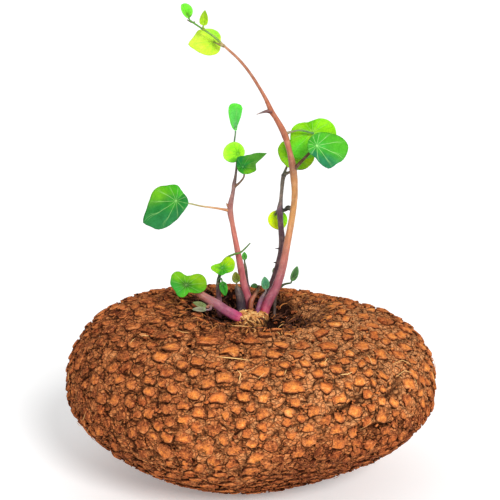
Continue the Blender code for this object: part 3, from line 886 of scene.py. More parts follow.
@dataclass(frozen=True)
class Sight:
    """The photograph's view of the root, in its square frame with the origin at the top left."""

    form: RootForm
    camera: Camera = Camera()
    nearest: float = 520.0
    farthest: float = 800.0
    step: float = 0.2

    def axes(self) -> np.ndarray:
        """Finds how the camera is turned.

        Returns:
            Unit vectors to the right, up and forward, one a row.
        """
        slope = math.radians(self.camera.pitch)
        return np.array([[1.0, 0.0, 0.0], [0.0, math.sin(slope), math.cos(slope)],
                         [0.0, math.cos(slope), -math.sin(slope)]])

    def spots(self, places: np.ndarray) -> np.ndarray:
        """Finds the points of the root that show at places.

        Args:
            places: Rows of x, y in the frame, all on the root.

        Returns:
            Rows of x, y, z on its surface.
        """
        centred = places - 0.5 * self.camera.frame_side
        offset = np.column_stack([centred, np.full(len(places), self.camera.focus())]) * np.array([1.0, -1.0, 1.0])
        ways = unit_rows(offset @ self.axes())
        along = np.arange(self.nearest, self.farthest, self.step)
        centre = np.array(self.form.centre)
        found = np.empty((len(places), 3))
        for row, way in enumerate(ways):
            points = np.array(self.camera.at) + way * along[:, None]
            ground = self.form.surface(self.form.ways_to(points.copy()))
            inside = np.linalg.norm(points - centre, axis=1) < np.linalg.norm(ground - centre, axis=1)
            found[row] = points[int(np.argmax(inside))]
        return found

    def size_of(self, points: np.ndarray, steps: np.ndarray) -> np.ndarray:
        """Measures how long steps look.

        Args:
            points: Where each step begins.
            steps: The way and length of each.

        Returns:
            The length of each, in units of the frame.
        """
        ends = []
        for rows in (points, points + steps):
            local = (rows - np.array(self.camera.at)) @ self.axes().T
            ends.append(self.camera.focus() * local[:, :2] / local[:, 2:])
        return np.linalg.norm(ends[1] - ends[0], axis=1)


@dataclass(frozen=True)
class Bits:
    """One kind of small broken bits: how many places are tried, their half width and the height of their top."""

    name: str
    count: int
    size: tuple[float, float]
    lift: tuple[float, float]
    sides: int = 6
    ragged: tuple[float, float] = (0.6, 1.25)
    squash: tuple[float, float] = (0.4, 0.9)
    slope: tuple[float, float] = (0.0, 0.3)


SCABS = Bits("bark_scabs", 1300, (0.8, 1.9), (0.3, 0.9))
CRUMBS = Bits("bark_crumbs", 2600, (0.3, 0.8), (0.2, 0.8))


@dataclass
class Bark:
    """Bark of the root: rough ground, raised scales on part of its cells, and crumbs.

    Striking scales are rows of x, y, width and height in the photograph's frame, a turn in degrees and a tone.
    Creases are lines of places in the same frame. Waves of an outline are pairs of a count and a size. Bites
    out of it are rows of a turn, how far that turn strays, and a width.
    """

    form: RootForm
    sight: Sight
    striking: tuple[tuple[float, ...], ...] = (
        (133, 344, 12, 9, -10, 0.60), (152, 345, 12, 8, 0, 0.60), (171, 347, 20, 9, 25, 0.60),
        (207, 340, 33, 10, 8, 0.70), (232, 351, 20, 11, 10, 0.80), (161, 357, 15, 11, 5, 0.80),
        (183, 365, 13, 9, 10, 0.65), (198, 361, 16, 10, 10, 0.60), (194, 373, 15, 9, 0, 0.78),
        (214, 365, 12, 8, 15, 0.52), (223, 377, 23, 12, 15, 0.72), (208, 383, 20, 11, 10, 0.70),
        (246, 386, 12, 12, 0, 0.72), (150, 381, 14, 8, 0, 0.65), (137, 372, 10, 9, -10, 0.55),
        (132, 384, 13, 11, 0, 0.56), (150, 391, 12, 10, 0, 0.66), (163, 383, 10, 8, 0, 0.50),
        (173, 388, 13, 10, -10, 0.55), (194, 394, 16, 11, 15, 0.66), (218, 397, 19, 11, 0, 0.86),
        (244, 397, 16, 11, 0, 0.65), (131, 402, 13, 10, 0, 0.60), (184, 405, 14, 9, 0, 0.66),
        (199, 412, 14, 11, 10, 0.66), (225, 415, 11, 9, 0, 0.76), (236, 409, 12, 9, 10, 0.60),
        (251, 407, 10, 9, 0, 0.60), (149, 412, 12, 13, 10, 0.60), (138, 414, 9, 10, 0, 0.50),
        (170, 421, 13, 9, 0, 0.56), (159, 425, 11, 11, 0, 0.56), (241, 424, 12, 10, 15, 0.72),
        (247, 433, 13, 8, 0, 0.60), (167, 436, 15, 9, -5, 0.70), (197, 427, 13, 9, 0, 0.50),
        (256, 354, 13, 10, 0, 0.66), (274, 354, 15, 11, 5, 0.76), (296, 355, 12, 9, 5, 0.55),
        (316, 356, 15, 12, 10, 0.80), (328, 346, 18, 12, -5, 0.72), (320, 333, 34, 9, 3, 0.66),
        (361, 347, 20, 13, 15, 0.66), (373, 336, 13, 8, 25, 0.68), (346, 337, 12, 8, 0, 0.55),
        (260, 371, 24, 11, 0, 0.76), (298, 373, 14, 10, 15, 0.76), (336, 369, 14, 10, 0, 0.50),
        (292, 387, 23, 15, 0, 0.74), (258, 385, 14, 10, 20, 0.60), (295, 402, 12, 9, 0, 0.74),
        (326, 388, 14, 10, -30, 0.86), (339, 398, 22, 9, 10, 0.76), (347, 385, 8, 9, 0, 0.70),
        (361, 364, 10, 7, 10, 0.74), (368, 373, 13, 8, 10, 0.66), (367, 393, 13, 9, 0, 0.70),
        (371, 407, 9, 8, 0, 0.66), (313, 411, 14, 10, 0, 0.60), (286, 421, 9, 13, 0, 0.70),
        (263, 427, 12, 12, 0, 0.66), (307, 427, 14, 9, -5, 0.66), (335, 429, 13, 9, 0, 0.66),
        (354, 432, 12, 10, 20, 0.62), (326, 420, 12, 9, 0, 0.50), (366, 421, 12, 9, 0, 0.52),
    )
    spacing: float = 7.7
    uneven: float = 0.22
    squat: float = 1.46
    candidates: int = 30000
    ground_cuts: int = 125
    sides: int = 14
    gap: float = 0.2
    highest: float = 1.75
    buried: float = -0.9
    creases: tuple[tuple[tuple[float, float], ...], ...] = (
        ((328, 418), (345, 408), (365, 395)), ((350, 432), (370, 427), (390, 425)), ((385, 398), (400, 385)),
        ((165, 306), (190, 306)),
    )
    crease_width: float = 1.6
    fine_lumps: float = 2.6
    broad_lumps: float = 14.0
    ground_tone: float = 0.71
    bright_tone: float = 0.62
    usual_tone: float = 0.53
    fill: float = 0.55
    bite_depth: tuple[float, float] = (0.3, 0.65)
    crest: tuple[float, float] = (0.55, 0.75)
    crater: tuple[float, float] = (0.15, 0.5)
    slip: tuple[float, float] = (0.08, 0.26)
    least_reach: float = 0.35
    lowest_cell: float = 0.4
    lowest_bit: float = 1.0
    neighbours: int = 14
    bright_share: float = 0.5
    dull_share: float = 0.30
    worn_share: float = 0.45
    bitten_share: float = 0.5
    waves: tuple[tuple[int, float], ...] = ((2, 0.12), (3, 0.13), (4, 0.11), (5, 0.09))
    bites: tuple[Point, ...] = ((-math.pi / 2.0, 0.8, 0.6), (0.6, 2.0, 0.4))
    rng: np.random.Generator = field(default_factory=lambda: np.random.default_rng(SEED))

    def __post_init__(self) -> None:
        """Spreads the middles of the cells over the body and settles what each is like."""
        self.folds = [self.sight.spots(np.array(line, float)) for line in self.creases]
        self.sites, self.sizes = self.scatter()
        self.characterise()

    def scatter(self) -> tuple[np.ndarray, np.ndarray]:
        """Picks points on the surface that keep their distance, closer up and down than across.

        Returns:
            The points, and the own spacing of each.
        """
        points = self.form.scattered(unit_rows(self.rng.normal(size=(self.candidates, 3))))
        points = points[points[:, 2] > self.lowest_cell]
        sizes = self.spacing * np.exp(self.rng.normal(0.0, self.uneven, len(points)).clip(-0.5, 0.6))
        share = self.form.hollow_share(points[:, 0], points[:, 1])
        small = 0.72 + 0.2 * Band.SPARSE_SIDE.share(points[:, 0])
        sizes *= np.where((points[:, 2] > self.form.rim_level) & (share < 1.15), small, 1.0)
        metric = np.array([1.0, 1.0, self.squat])
        count = len(self.striking)
        kept = np.empty((count + len(points), 3))
        kept_sizes = np.empty(len(kept))
        kept[:count] = self.sight.spots(np.array(self.striking)[:, :2]) * metric
        kept_sizes[:count] = 0.5 * np.array(self.striking)[:, 2]
        for point, size in zip(points, sizes):
            reach = 0.5 * (kept_sizes[:count] + size)
            if np.all(np.sum((kept[:count] - point * metric) ** 2, axis=1) > reach * reach):
                kept[count] = point * metric
                kept_sizes[count] = size
                count += 1
        return kept[:count] / metric, kept_sizes[:count]

    def crease(self, points: np.ndarray) -> np.ndarray:
        """How deep points lie in a crease.

        Args:
            points: Rows of x, y, z.

        Returns:
            1 in the middle of a crease and 0 away from all of them.
        """
        deepest = np.zeros(len(points))
        for line in self.folds:
            for start, end in zip(line, line[1:]):
                run = end - start
                share = np.clip((points - start) @ run / (run @ run), 0.0, 1.0)
                away = np.linalg.norm(points - start - share[:, None] * run, axis=1)
                deepest = np.maximum(deepest, np.exp(-((away / self.crease_width) ** 2)))
        return deepest

    def light(self, points: np.ndarray) -> np.ndarray:
        """Paints light and shade over the bark by region.

        Args:
            points: Rows of x, y, z.

        Returns:
            How much paler than usual: painted light on the right shoulder and on the middle below the shoulders,
                painted shade at the left, low on the right and towards the foot, with a little random tone.
        """
        x, y, z = points.T
        left = Band.LEFT.share(x)
        right = Band.RIGHT.share(x) * Band.FRONT.share(y)
        high = Band.HIGH.share(z)
        belly = Band.MIDDLE.share(np.abs(x)) * Band.UNDER_SHOULDERS.share(z)
        side = (0.42 * high - 0.21) * right - left * (0.21 - 0.05 * high) + 0.05 * belly
        return side - 0.06 * Band.DEEP.share(z) - 0.14 * Band.FOOT.share(z) + 0.03 * cloud(points, 30.0, 2)

    def characterise(self) -> None:
        """Settles how bright, how thick and how large each scale is, and which cells stay bare."""
        count = len(self.sites)
        bright = self.rng.random(count) < self.bright_share
        dull = self.rng.random(count) < self.dull_share
        own = np.where(bright, self.bright_tone, self.usual_tone) + 0.08 * self.rng.normal(size=count) - 0.11 * dull
        # Painted light and shade by region, then painted shade in the creases.
        self.tone = np.clip(own + self.light(self.sites), 0.05, 0.95)
        self.tone *= 1.0 - 0.5 * self.crease(self.sites)
        x, y, z = self.sites.T
        share = self.form.hollow_share(x, y)
        high = z > self.form.crown_level
        # Painted shade in and round the crown hollow, less of it on the right.
        self.tone -= np.where(high, 0.36 * smooth_step(1.2, 0.85, share + 0.24 * Band.DARK_SIDE.share(x)), 0.0)
        crown = high & (share < 0.84 + 0.12 * Band.BARE_SIDE.share(x))
        low = Band.LOW.share(z)
        bare = self.rng.random(count) < 0.08 + 0.10 * low
        self.bare = bare | crown
        self.lift = (0.60 + 0.55 * self.rng.random(count)) * (1.0 - 0.25 * low) * (1.0 - 0.35 * dull)
        wide = self.sizes * self.rng.uniform(0.50, 0.66, count)
        self.half = np.stack([wide, 0.5 * self.sizes / self.squat * self.rng.uniform(0.85, 1.25, count)], axis=1)
        slant = Band.SLANT_LEFT.share(x) - Band.SLANT_RIGHT.share(x)
        self.turn = self.rng.normal(0.0, 0.35, count) + 0.65 * slant
        self.follow_photograph()

    def follow_photograph(self) -> None:
        """Gives the striking scales their own turn, size and tone."""
        own = np.arange(len(self.striking))
        _, _, width, height, turn, tone = np.array(self.striking, float).T
        self.turn[own] = np.radians(turn)
        long, short = self.axes(own)
        self.half[own, 0] = self.fill * width / self.sight.size_of(self.sites[own], long)
        self.half[own, 1] = self.fill * height / self.sight.size_of(self.sites[own], short)
        # A striking scale takes half of its region's painted shade and none of its painted light.
        self.tone[own] = 0.08 + 0.84 * tone + 0.5 * np.minimum(self.light(self.sites[own]), 0.0)
        self.bare[own] = False
        self.lift[own] = 0.6 + 0.6 * tone

    def tree(self) -> kdtree.KDTree:
        """Sorts the middles of the cells.

        Returns:
            A search tree over them.
        """
        tree = kdtree.KDTree(len(self.sites))
        for index, site in enumerate(self.sites):
            tree.insert(Vector(site), index)
        tree.balance()
        return tree

    def axes(self, chosen: np.ndarray) -> tuple[np.ndarray, np.ndarray]:
        """Finds how some scales lie.

        Args:
            chosen: Numbers of the scales.

        Returns:
            Their long and short axes, as unit vectors along the surface.
        """
        level, downhill, _ = self.form.frames(self.sites[chosen])
        cosine = np.cos(self.turn[chosen])[:, None]
        sine = np.sin(self.turn[chosen])[:, None]
        return cosine * level + sine * downhill, cosine * downhill - sine * level

    def turns(self) -> np.ndarray:
        """Turns of a scale's sides, in radians from its long axis."""
        return np.arange(self.sides) * 2.0 * math.pi / self.sides

    def reaches(self, chosen: np.ndarray) -> np.ndarray:
        """Measures the cells of some scales.

        Args:
            chosen: Numbers of the scales.

        Returns:
            Distance from each middle to the edge of its cell, once for every side.
        """
        tree = self.tree()
        hits = [tree.find_n(Vector(self.sites[index]), self.neighbours)[1:] for index in chosen]
        near = np.array([[hit[1] for hit in row] for row in hits])
        long, short = self.axes(chosen)
        offset = self.sites[near] - self.sites[chosen][:, None]
        flat = np.stack([np.sum(offset * long[:, None], axis=2), np.sum(offset * short[:, None], axis=2)], axis=2)
        rays = np.stack([np.cos(self.turns()), np.sin(self.turns())], axis=1)
        share = self.sizes[chosen][:, None] / (self.sizes[chosen][:, None] + self.sizes[near])
        toward = np.einsum("nji,ki->njk", flat, rays)
        square = (np.sum(flat * flat, axis=2) * share)[:, :, None]
        return np.where(toward > 1e-6, square / np.maximum(toward, 1e-6), 99.0).min(axis=1)

    def blank_ground(self) -> tuple[bpy.types.Mesh, np.ndarray]:
        """Makes an even skin of the whole root.

        Returns:
            The mesh, and a point of the smooth surface for each of its vertices.
        """
        ball = bmesh.new()
        bmesh.ops.create_cube(ball, size=2.0)
        bmesh.ops.subdivide_edges(ball, edges=ball.edges, cuts=self.ground_cuts, use_grid_fill=True)
        mesh = bpy.data.meshes.new("ground")
        ball.to_mesh(mesh)
        ball.free()
        seats = unit_rows(np.tan(coordinates(mesh) * (math.pi / 4.0)))
        half = np.where(seats[:, 2:] >= 0.0, self.form.half_top, self.form.half_bottom)
        stretch = np.hstack([np.full_like(half, self.form.half_width), np.full_like(half, self.form.half_depth), half])
        return mesh, self.form.surface(unit_rows(seats * stretch))

    def nearest_cells(self, points: np.ndarray) -> tuple[np.ndarray, np.ndarray]:
        """Finds the cell of each point.

        Args:
            points: Rows of x, y, z.

        Returns:
            The number of its cell, and its distance from the cell's edge.
        """
        tree = self.tree()
        pairs = [tree.find_n(Vector(point), 2) for point in points]
        return np.array([pair[0][1] for pair in pairs]), np.array([0.5 * (pair[1][2] - pair[0][2]) for pair in pairs])

    def ground(self) -> bpy.types.Object:
        """Builds the rough skin of the whole root, sunk along the seams between the cells.

        Returns:
            The piece, which replaces the root's CAD node.
        """
        mesh, smooth = self.blank_ground()
        first, edge = self.nearest_cells(smooth)
        rough = cloud(smooth, self.fine_lumps, 3)
        broad = cloud(smooth, self.broad_lumps, 2)
        seam = smooth_step(0.9, 0.1, edge + 0.3 * rough) * smooth_step(-0.25, 0.25, cloud(smooth + 50.0, 7.0, 2))
        x, y, z = smooth.T
        share = self.form.hollow_share(x, y)
        knob = self.form.wood_share(x, y)
        high = z > self.form.crown_level
        # Painted shade of the crown hollow: a ring round the knob that reaches farther behind it and to the left, less
        # to the right. The same ring sinks the bark there.
        behind = Band.BEHIND_KNOB.share(y) + 1.8 * Band.MOAT_LEFT.share(x) - 2.0 * Band.MOAT_RIGHT.share(x)
        moat = np.where(high, smooth_step(1.12, 0.76, share + 0.10 * broad - 0.10 * behind), 0.0)
        wood = np.where(high, smooth_step(1.05, 0.85, knob + 0.25 * rough), 0.0)
        fold = self.crease(smooth)
        own = (self.rng.random(len(self.sites)) - 0.5)[first]
        lift = -0.30 + 0.25 * broad + 0.40 * rough + 0.25 * own
        lift -= seam * (0.8 - 0.4 * moat) + 1.5 * fold
        lift += wood * 1.6 * cloud(smooth * np.array([1.0, 0.35, 1.0]), 1.6, 3) + moat * (0.8 * rough - 0.5)
        write_points(mesh, self.form.lay(smooth, lift))
        # Painted shade in the sunk seams and creases, over the bark's own dark cracks, bolder towards the left.
        bold = 0.80 + 0.20 * Band.BOLD_SEAMS.share(x)
        note(mesh, "seam", np.maximum(seam * (1.0 - wood) * bold, fold))
        note(mesh, "moat", moat)
        note(mesh, "wood", wood)
        by_side = Band.RIM_LEFT.share(x) - 1.3 * Band.RIM_RIGHT.share(x)
        shade = np.where(high, 0.16 * smooth_step(1.9, 1.2, share) * by_side, 0.0)
        # The ground takes the painted light and shade by region too.
        tone = self.ground_tone - shade + self.light(smooth) + 0.10 * own + 0.10 * rough
        note(mesh, "tone", np.clip(tone, 0.0, 1.0))
        piece = finished("bark_ground", mesh, GroundFinish().make())
        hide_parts("caudex")
        return piece

    def ragged(self, count: int) -> np.ndarray:
        """Draws random outlines, wavy and jagged.

        Args:
            count: How many.

        Returns:
            One row an outline, with a reach of about 1 for every side.
        """
        outline = 1.0 + self.rng.normal(0.0, 0.07, (count, self.sides))
        for wave, size in self.waves:
            phase = self.rng.uniform(0.0, 2.0 * math.pi, (count, 1))
            outline += self.rng.normal(0.0, size, (count, 1)) * np.cos(wave * self.turns()[None] + phase)
        return np.clip(outline, 0.45, 1.5)

    def outlines(self, chosen: np.ndarray) -> tuple[np.ndarray, np.ndarray]:
        """Shapes some scales.

        Args:
            chosen: Numbers of the scales.

        Returns:
            The reach of each along every side, kept within its cell, and whether a bite is torn out of it.
        """
        count = len(chosen)
        turn = self.turns()
        half = self.half[chosen]
        outer = self.ragged(count) / np.hypot(np.cos(turn) / half[:, :1], np.sin(turn) / half[:, 1:])
        torn = np.zeros((count, 1), bool)
        for middle, spread, width in self.bites:
            bitten = self.rng.random((count, 1)) < self.bitten_share
            bite = (turn[None] - self.rng.normal(middle, spread, (count, 1)) + math.pi) % (2.0 * math.pi) - math.pi
            depth = np.where(bitten, self.rng.uniform(*self.bite_depth, (count, 1)), 0.0)
            outer *= 1.0 - depth * np.exp(-((bite / width) ** 2))
            torn |= bitten
        room = self.reaches(chosen) - self.gap
        return np.maximum((outer**-4.0 + np.maximum(room, 0.5) ** -4.0) ** -0.25, self.least_reach), torn

    def scales(self) -> bpy.types.Object:
        """Builds the corky scales, grown together with the bark uphill and standing off it downhill.

        Returns:
            The piece.
        """
        chosen = np.flatnonzero(~self.bare)
        count = len(chosen)
        mesh, corner = repeated(blank_plate(self.sides, (0.2, 0.2)), count)
        part = PlateParts.of(corner, self.sides)
        rng = self.rng
        half = self.half[chosen]
        outer, torn = self.outlines(chosen)
        worn = rng.random((count, 1)) < self.worn_share
        crest = outer * rng.uniform(*self.crest, (count, 1)) * (1.0 + rng.normal(0.0, 0.08, outer.shape))
        lower = np.clip(np.sin(self.turns() + self.turn[chosen][:, None]), 0.0, 1.0)
        # The foot ring lies on the ground past the lower lip and carries the painted shadow there.
        foot = outer + 1.2 * lower - 0.25
        radii = np.stack([np.zeros_like(outer), crest, outer, foot, outer * 0.8], axis=1)
        lift = self.lift[chosen][:, None]
        crater = np.where(worn | torn, rng.uniform(*self.crater, (count, 1)), -0.08)
        long, short = self.axes(chosen)
        wide = radii[:, part.ring, part.side]
        across = wide * np.cos(part.turn)
        slip = rng.uniform(*self.slip, (count, 1)) * half[:, 1:] * (part.ring < 2)
        down = wide * np.sin(part.turn) + slip
        spot = self.sites[chosen][:, None] + long[:, None] * across[:, :, None] + short[:, None] * down[:, :, None]
        slope = np.clip(down / half[:, 1:], -1.0, 1.0)
        lean = rng.normal(0.0, 0.05, (count, 1))
        body = lift * (0.80 + 0.42 * slope) + lean * across + rng.normal(0.0, 0.05, (count, len(corner)))
        body = np.clip(body, -0.5, self.highest) - 1.2 * self.crease(self.sites[chosen])[:, None]
        height = np.select([part.ring == 0, part.ring == 1, part.ring == 2, part.ring == 3],
                           [body - crater, body + 0.12, body - 0.10, np.minimum(body - 0.2, -0.05)], self.buried)
        write_points(mesh, self.form.lay(spot.reshape(-1, 3), height.ravel()))
        faded = np.where(worn | torn, 1.0, 0.2) * np.array([0.22, 0.08, 0.0, 0.0, 0.0])[part.ring]
        # Paler towards the lifted lower lip, a painted highlight, and darker towards the top edge where the scale
        # grows from the bark.
        tone = self.tone[chosen][:, None] - faded + 0.12 * slope
        note(mesh, "tone", tone.ravel())
        # Share of torn edge and painted shadow: low on the top, torn at the outer edge, and the crack colour of a
        # painted shadow on the wall and the foot, most under the lower lip.
        below = lower[:, part.side]
        rim = np.select([part.ring < 2, part.ring == 2], [0.4 * part.ring, 0.72 + 0.16 * below], 0.95 + 0.6 * below)
        note(mesh, "rim", rim.ravel())
        return finished("bark_scales", mesh, CorkFinish().make())

    def scatter_bits(self, bits: Bits) -> bpy.types.Object:
        """Builds small broken bits that lie anywhere on the bark.

        Args:
            bits: Their kind.

        Returns:
            The piece.
        """
        rng = self.rng
        spots = self.form.scattered(unit_rows(rng.normal(size=(bits.count, 3))))
        spots = spots[spots[:, 2] > self.lowest_bit]
        count = len(spots)
        mesh, corner = repeated(blank_plate(bits.sides, (0.3,)), count)
        part = PlateParts.of(corner, bits.sides)
        reach = rng.uniform(*bits.size, (count, 1)) * rng.uniform(*bits.ragged, (count, bits.sides))
        radii = np.stack([np.zeros_like(reach), reach * 0.7, reach, reach * 0.9], axis=1)
        wide = radii[:, part.ring, part.side]
        turn = part.turn + rng.uniform(0.0, 6.0, (count, 1))
        across = wide * np.cos(turn)
        down = wide * np.sin(turn) * rng.uniform(*bits.squash, (count, 1))
        level, downhill, _ = self.form.frames(spots)
        spot = spots[:, None] + level[:, None] * across[:, :, None] + downhill[:, None] * down[:, :, None]
        height = rng.uniform(*bits.lift, (count, 1)) + rng.uniform(*bits.slope, (count, 1)) * down
        height = np.minimum(height + rng.normal(0.0, 0.10, (count, len(corner))), self.highest)
        height = np.where(part.ring < 3, height, self.buried)
        write_points(mesh, self.form.lay(spot.reshape(-1, 3), height.ravel()))
        # Bits take the painted light and shade by region, and those in the crown hollow are painted much darker as
        # shade.
        tone = np.clip(0.44 + self.light(spots) + 0.14 * rng.normal(size=count), 0.03, 0.95)
        high = spots[:, 2] > self.form.crown_level
        inside = high & (self.form.hollow_share(spots[:, 0], spots[:, 1]) < 1.0)
        note(mesh, "tone", np.repeat(np.where(inside, tone * 0.3, tone), len(corner)))
        # The wall of each bit darkens to the crack colour towards its buried foot: painted shadow.
        note(mesh, "rim", np.tile(np.array([0.3, 0.6, 0.9, 1.3])[part.ring], count))
        return finished(bits.name, mesh, CorkFinish(bits.name.replace("_", " "), 0.9).make())


def blank_tube(rings: int, sides: int) -> bmesh.types.BMesh:
    """Makes a closed tube of radius 1 along Z from 0 to 1.

    Args:
        rings: How many evenly spaced rings of vertices it has.
        sides: How many sides it has.

    Returns:
        The tube.
    """
    tube = bmesh.new()
    bmesh.ops.create_cone(tube, segments=sides, radius1=1.0, radius2=1.0, depth=1.0, cap_ends=True, cap_tris=True)
    bmesh.ops.translate(tube, verts=tube.verts, vec=(0.0, 0.0, 0.5))
    long = [edge for edge in tube.edges if abs(edge.verts[0].co.z - edge.verts[1].co.z) > 0.5]
    bmesh.ops.subdivide_edges(tube, edges=long, cuts=rings - 2, use_grid_fill=True)
    return tube


def swept(paths: np.ndarray, radii: np.ndarray, corner: np.ndarray) -> np.ndarray:
    """Carries blank tubes along paths.

    Args:
        paths: Rows of x, y, z for every ring of every path.
        radii: The radius at every ring.
        corner: The blank's vertices, with their place along the tube in z.

    Returns:
        The vertices of each tube, one block a path.
    """
    rings = paths.shape[1]
    ring = np.rint(corner[:, 2] * (rings - 1)).astype(int)
    heading = unit_rows(np.gradient(paths, axis=1))
    side = np.empty_like(paths)
    start = np.where(np.abs(heading[:, 0, 2:]) > 0.9, [[1.0, 0.0, 0.0]], [[0.0, 0.0, 1.0]])
    side[:, 0] = unit_rows(np.cross(heading[:, 0], start))
    for index in range(1, rings):
        carried = side[:, index - 1]
        along = heading[:, index]
        side[:, index] = unit_rows(carried - along * np.sum(carried * along, axis=1, keepdims=True))
    third = np.cross(heading, side)
    return (paths[:, ring] + side[:, ring] * (radii[:, ring] * corner[:, 0])[:, :, None]
            + third[:, ring] * (radii[:, ring] * corner[:, 1])[:, :, None])


@dataclass(frozen=True)
class Fibres:
    """One kind of fibre: how many, the least and most of length, radius and height, and how far it wanders."""

    name: str
    count: int
    length: tuple[float, float]
    radius: tuple[float, float]
    lift: tuple[float, float]
    bend: float


SHREDS = Fibres("crown_shreds", 700, (2.0, 6.0), (0.14, 0.45), (0.1, 1.3), 0.12)
SPLINTERS = Fibres("knob_splinters", 300, (1.2, 3.4), (0.24, 0.60), (0.0, 0.5), 0.015)
STRAWS = Fibres("bark_straws", 50, (4.0, 11.0), (0.08, 0.15), (0.9, 1.6), 0.1)


@dataclass
class CrownFibres:
    """Loose dry fibres: shreds on the walls of the hollow, splinters on the knob, straw on the bark.

    Seen straws are rows of a radius, a tone and a line of places in the photograph's frame.
    """

    form: RootForm
    rings: int = 9
    sides: int = 4
    shred_band: tuple[float, float] = (0.42, 1.10)
    hollow_level: float = 84.0
    knob_level: float = 86.0
    knob_grain: float = -0.6
    straw_stretch: Point = (86.0, 78.0, 45.0)
    lowest_straw: float = 8.0
    seen: tuple[tuple, ...] = (
        (0.24, 0.95, (217, 358), (226, 360), (238, 361), (250, 362)),
        (0.26, 0.95, (237, 371), (241, 376), (239, 382)),
        (0.20, 0.85, (230, 328), (239, 329), (248, 329)),
        (0.24, 0.95, (339, 376), (346, 376), (352, 373)),
        (0.22, 0.90, (324, 364), (327, 360)),
        (0.22, 0.85, (366, 356), (371, 366)),
        (0.24, 0.85, (142, 338), (150, 338)),
        (0.22, 0.80, (131, 346), (136, 340)),
        (0.20, 0.85, (258, 380), (262, 377), (265, 374)),
        (0.20, 0.90, (284, 376), (286, 371)),
        (0.22, 0.85, (394, 378), (402, 372), (411, 374)),
        (0.22, 0.80, (390, 366), (400, 362), (410, 366)),
        (0.20, 0.85, (276, 334), (280, 337)),
        (0.20, 0.85, (278, 330), (284, 326)),
        (0.22, 0.75, (176, 332), (183, 335), (190, 335)),
    )
    rng: np.random.Generator = field(default_factory=lambda: np.random.default_rng(SEED + 1))

    def strands(self, kind: Fibres, start: np.ndarray, heading: np.ndarray, length: np.ndarray, thick: np.ndarray,
                tone: np.ndarray) -> bpy.types.Object:
        """Lays fibres on the root.

        Args:
            kind: Their kind.
            start: Where each begins.
            heading: The way each runs.
            length: How long each is.
            thick: The radius of each.
            tone: How pale each is, 0 to 1.

        Returns:
            The piece.
        """
        rng = self.rng
        count = len(start)
        level, downhill, _ = self.form.frames(start)
        run = np.cos(heading)[:, None] * level + np.sin(heading)[:, None] * downhill
        over = -np.sin(heading)[:, None] * level + np.cos(heading)[:, None] * downhill
        share = np.linspace(0.0, 1.0, self.rings)
        wave = np.sin(share[None] * rng.uniform(2.0, 6.0, (count, 1)) + rng.uniform(0.0, 6.0, (count, 1)))
        path = (start[:, None] + run[:, None] * (length[:, None] * share[None])[:, :, None]
                + over[:, None] * (wave * kind.bend * length[:, None])[:, :, None])
        height = rng.uniform(*kind.lift, (count, 1))
        height = height * (0.4 + 0.6 * np.sin(share[None] * math.pi * rng.uniform(0.6, 1.6, (count, 1))))
        laid = self.form.lay(path.reshape(-1, 3), height.ravel()).reshape(path.shape)
        radii = thick[:, None] * (1.0 - 0.75 * np.abs(2.0 * share[None] - 1.0) ** 3)
        return self.tubes(kind.name, kind.name.replace("_", " "), laid, radii, tone)

    def tubes(self, name: str, look: str, paths: np.ndarray, radii: np.ndarray, tone: np.ndarray) -> bpy.types.Object:
        """Builds one tube a path.

        Args:
            name: The piece's name.
            look: The name of its finish.
            paths: Rows of x, y, z for every ring of every path.
            radii: The radius at every ring.
            tone: How pale each tube is, 0 to 1.

        Returns:
            The piece.
        """
        mesh, corner = repeated(blank_tube(self.rings, self.sides), len(paths))
        write_points(mesh, swept(paths, radii, corner).reshape(-1, 3))
        note(mesh, "tone", np.repeat(tone, len(corner)))
        return finished(name, mesh, FibreFinish(look).make())

    def shreds(self) -> bpy.types.Object:
        """Builds the brown shreds that hang down the walls of the hollow.

        Returns:
            The piece.
        """
        rng = self.rng
        count = SHREDS.count
        near, far = self.shred_band
        turn = rng.uniform(0.0, 2.0 * math.pi, count)
        away = np.sqrt(rng.uniform(near**2, far**2, count))
        start = self.form.on_crown(self.form.hollow_at, self.form.hollow_radii, turn, away, self.hollow_level)
        share = self.form.hollow_share(start[:, 0], start[:, 1])
        tone = rng.normal(0.24, 0.12, count) + 0.20 * smooth_step(0.8, 1.1, share)
        return self.strands(SHREDS, start, rng.normal(math.pi / 2.0, 0.9, count), rng.uniform(*SHREDS.length, count),
                            rng.uniform(*SHREDS.radius, count), np.clip(tone, 0.02, 0.9))

    def splinters(self) -> bpy.types.Object:
        """Builds the fine pale torn wood on the knob, mostly along one grain.

        Returns:
            The piece.
        """
        rng = self.rng
        count = SPLINTERS.count
        turn = rng.uniform(0.0, 2.0 * math.pi, count)
        away = 0.95 * np.sqrt(rng.random(count))
        start = self.form.on_crown(self.form.wood_at, self.form.wood_radii, turn, away, self.knob_level)
        _, downhill, _ = self.form.frames(start)
        grain = self.knob_grain - np.arctan2(downhill[:, 1], downhill[:, 0]) + math.pi / 2.0
        heading = grain + rng.choice([0.0, 1.3], count, p=[0.75, 0.25]) + rng.normal(0.0, 0.3, count)
        tone = rng.normal(0.70, 0.17, count) - 0.30 * smooth_step(0.60, 1.0, away)
        return self.strands(SPLINTERS, start, heading, rng.uniform(*SPLINTERS.length, count),
                            rng.uniform(*SPLINTERS.radius, count), np.clip(tone, 0.08, 1.0))

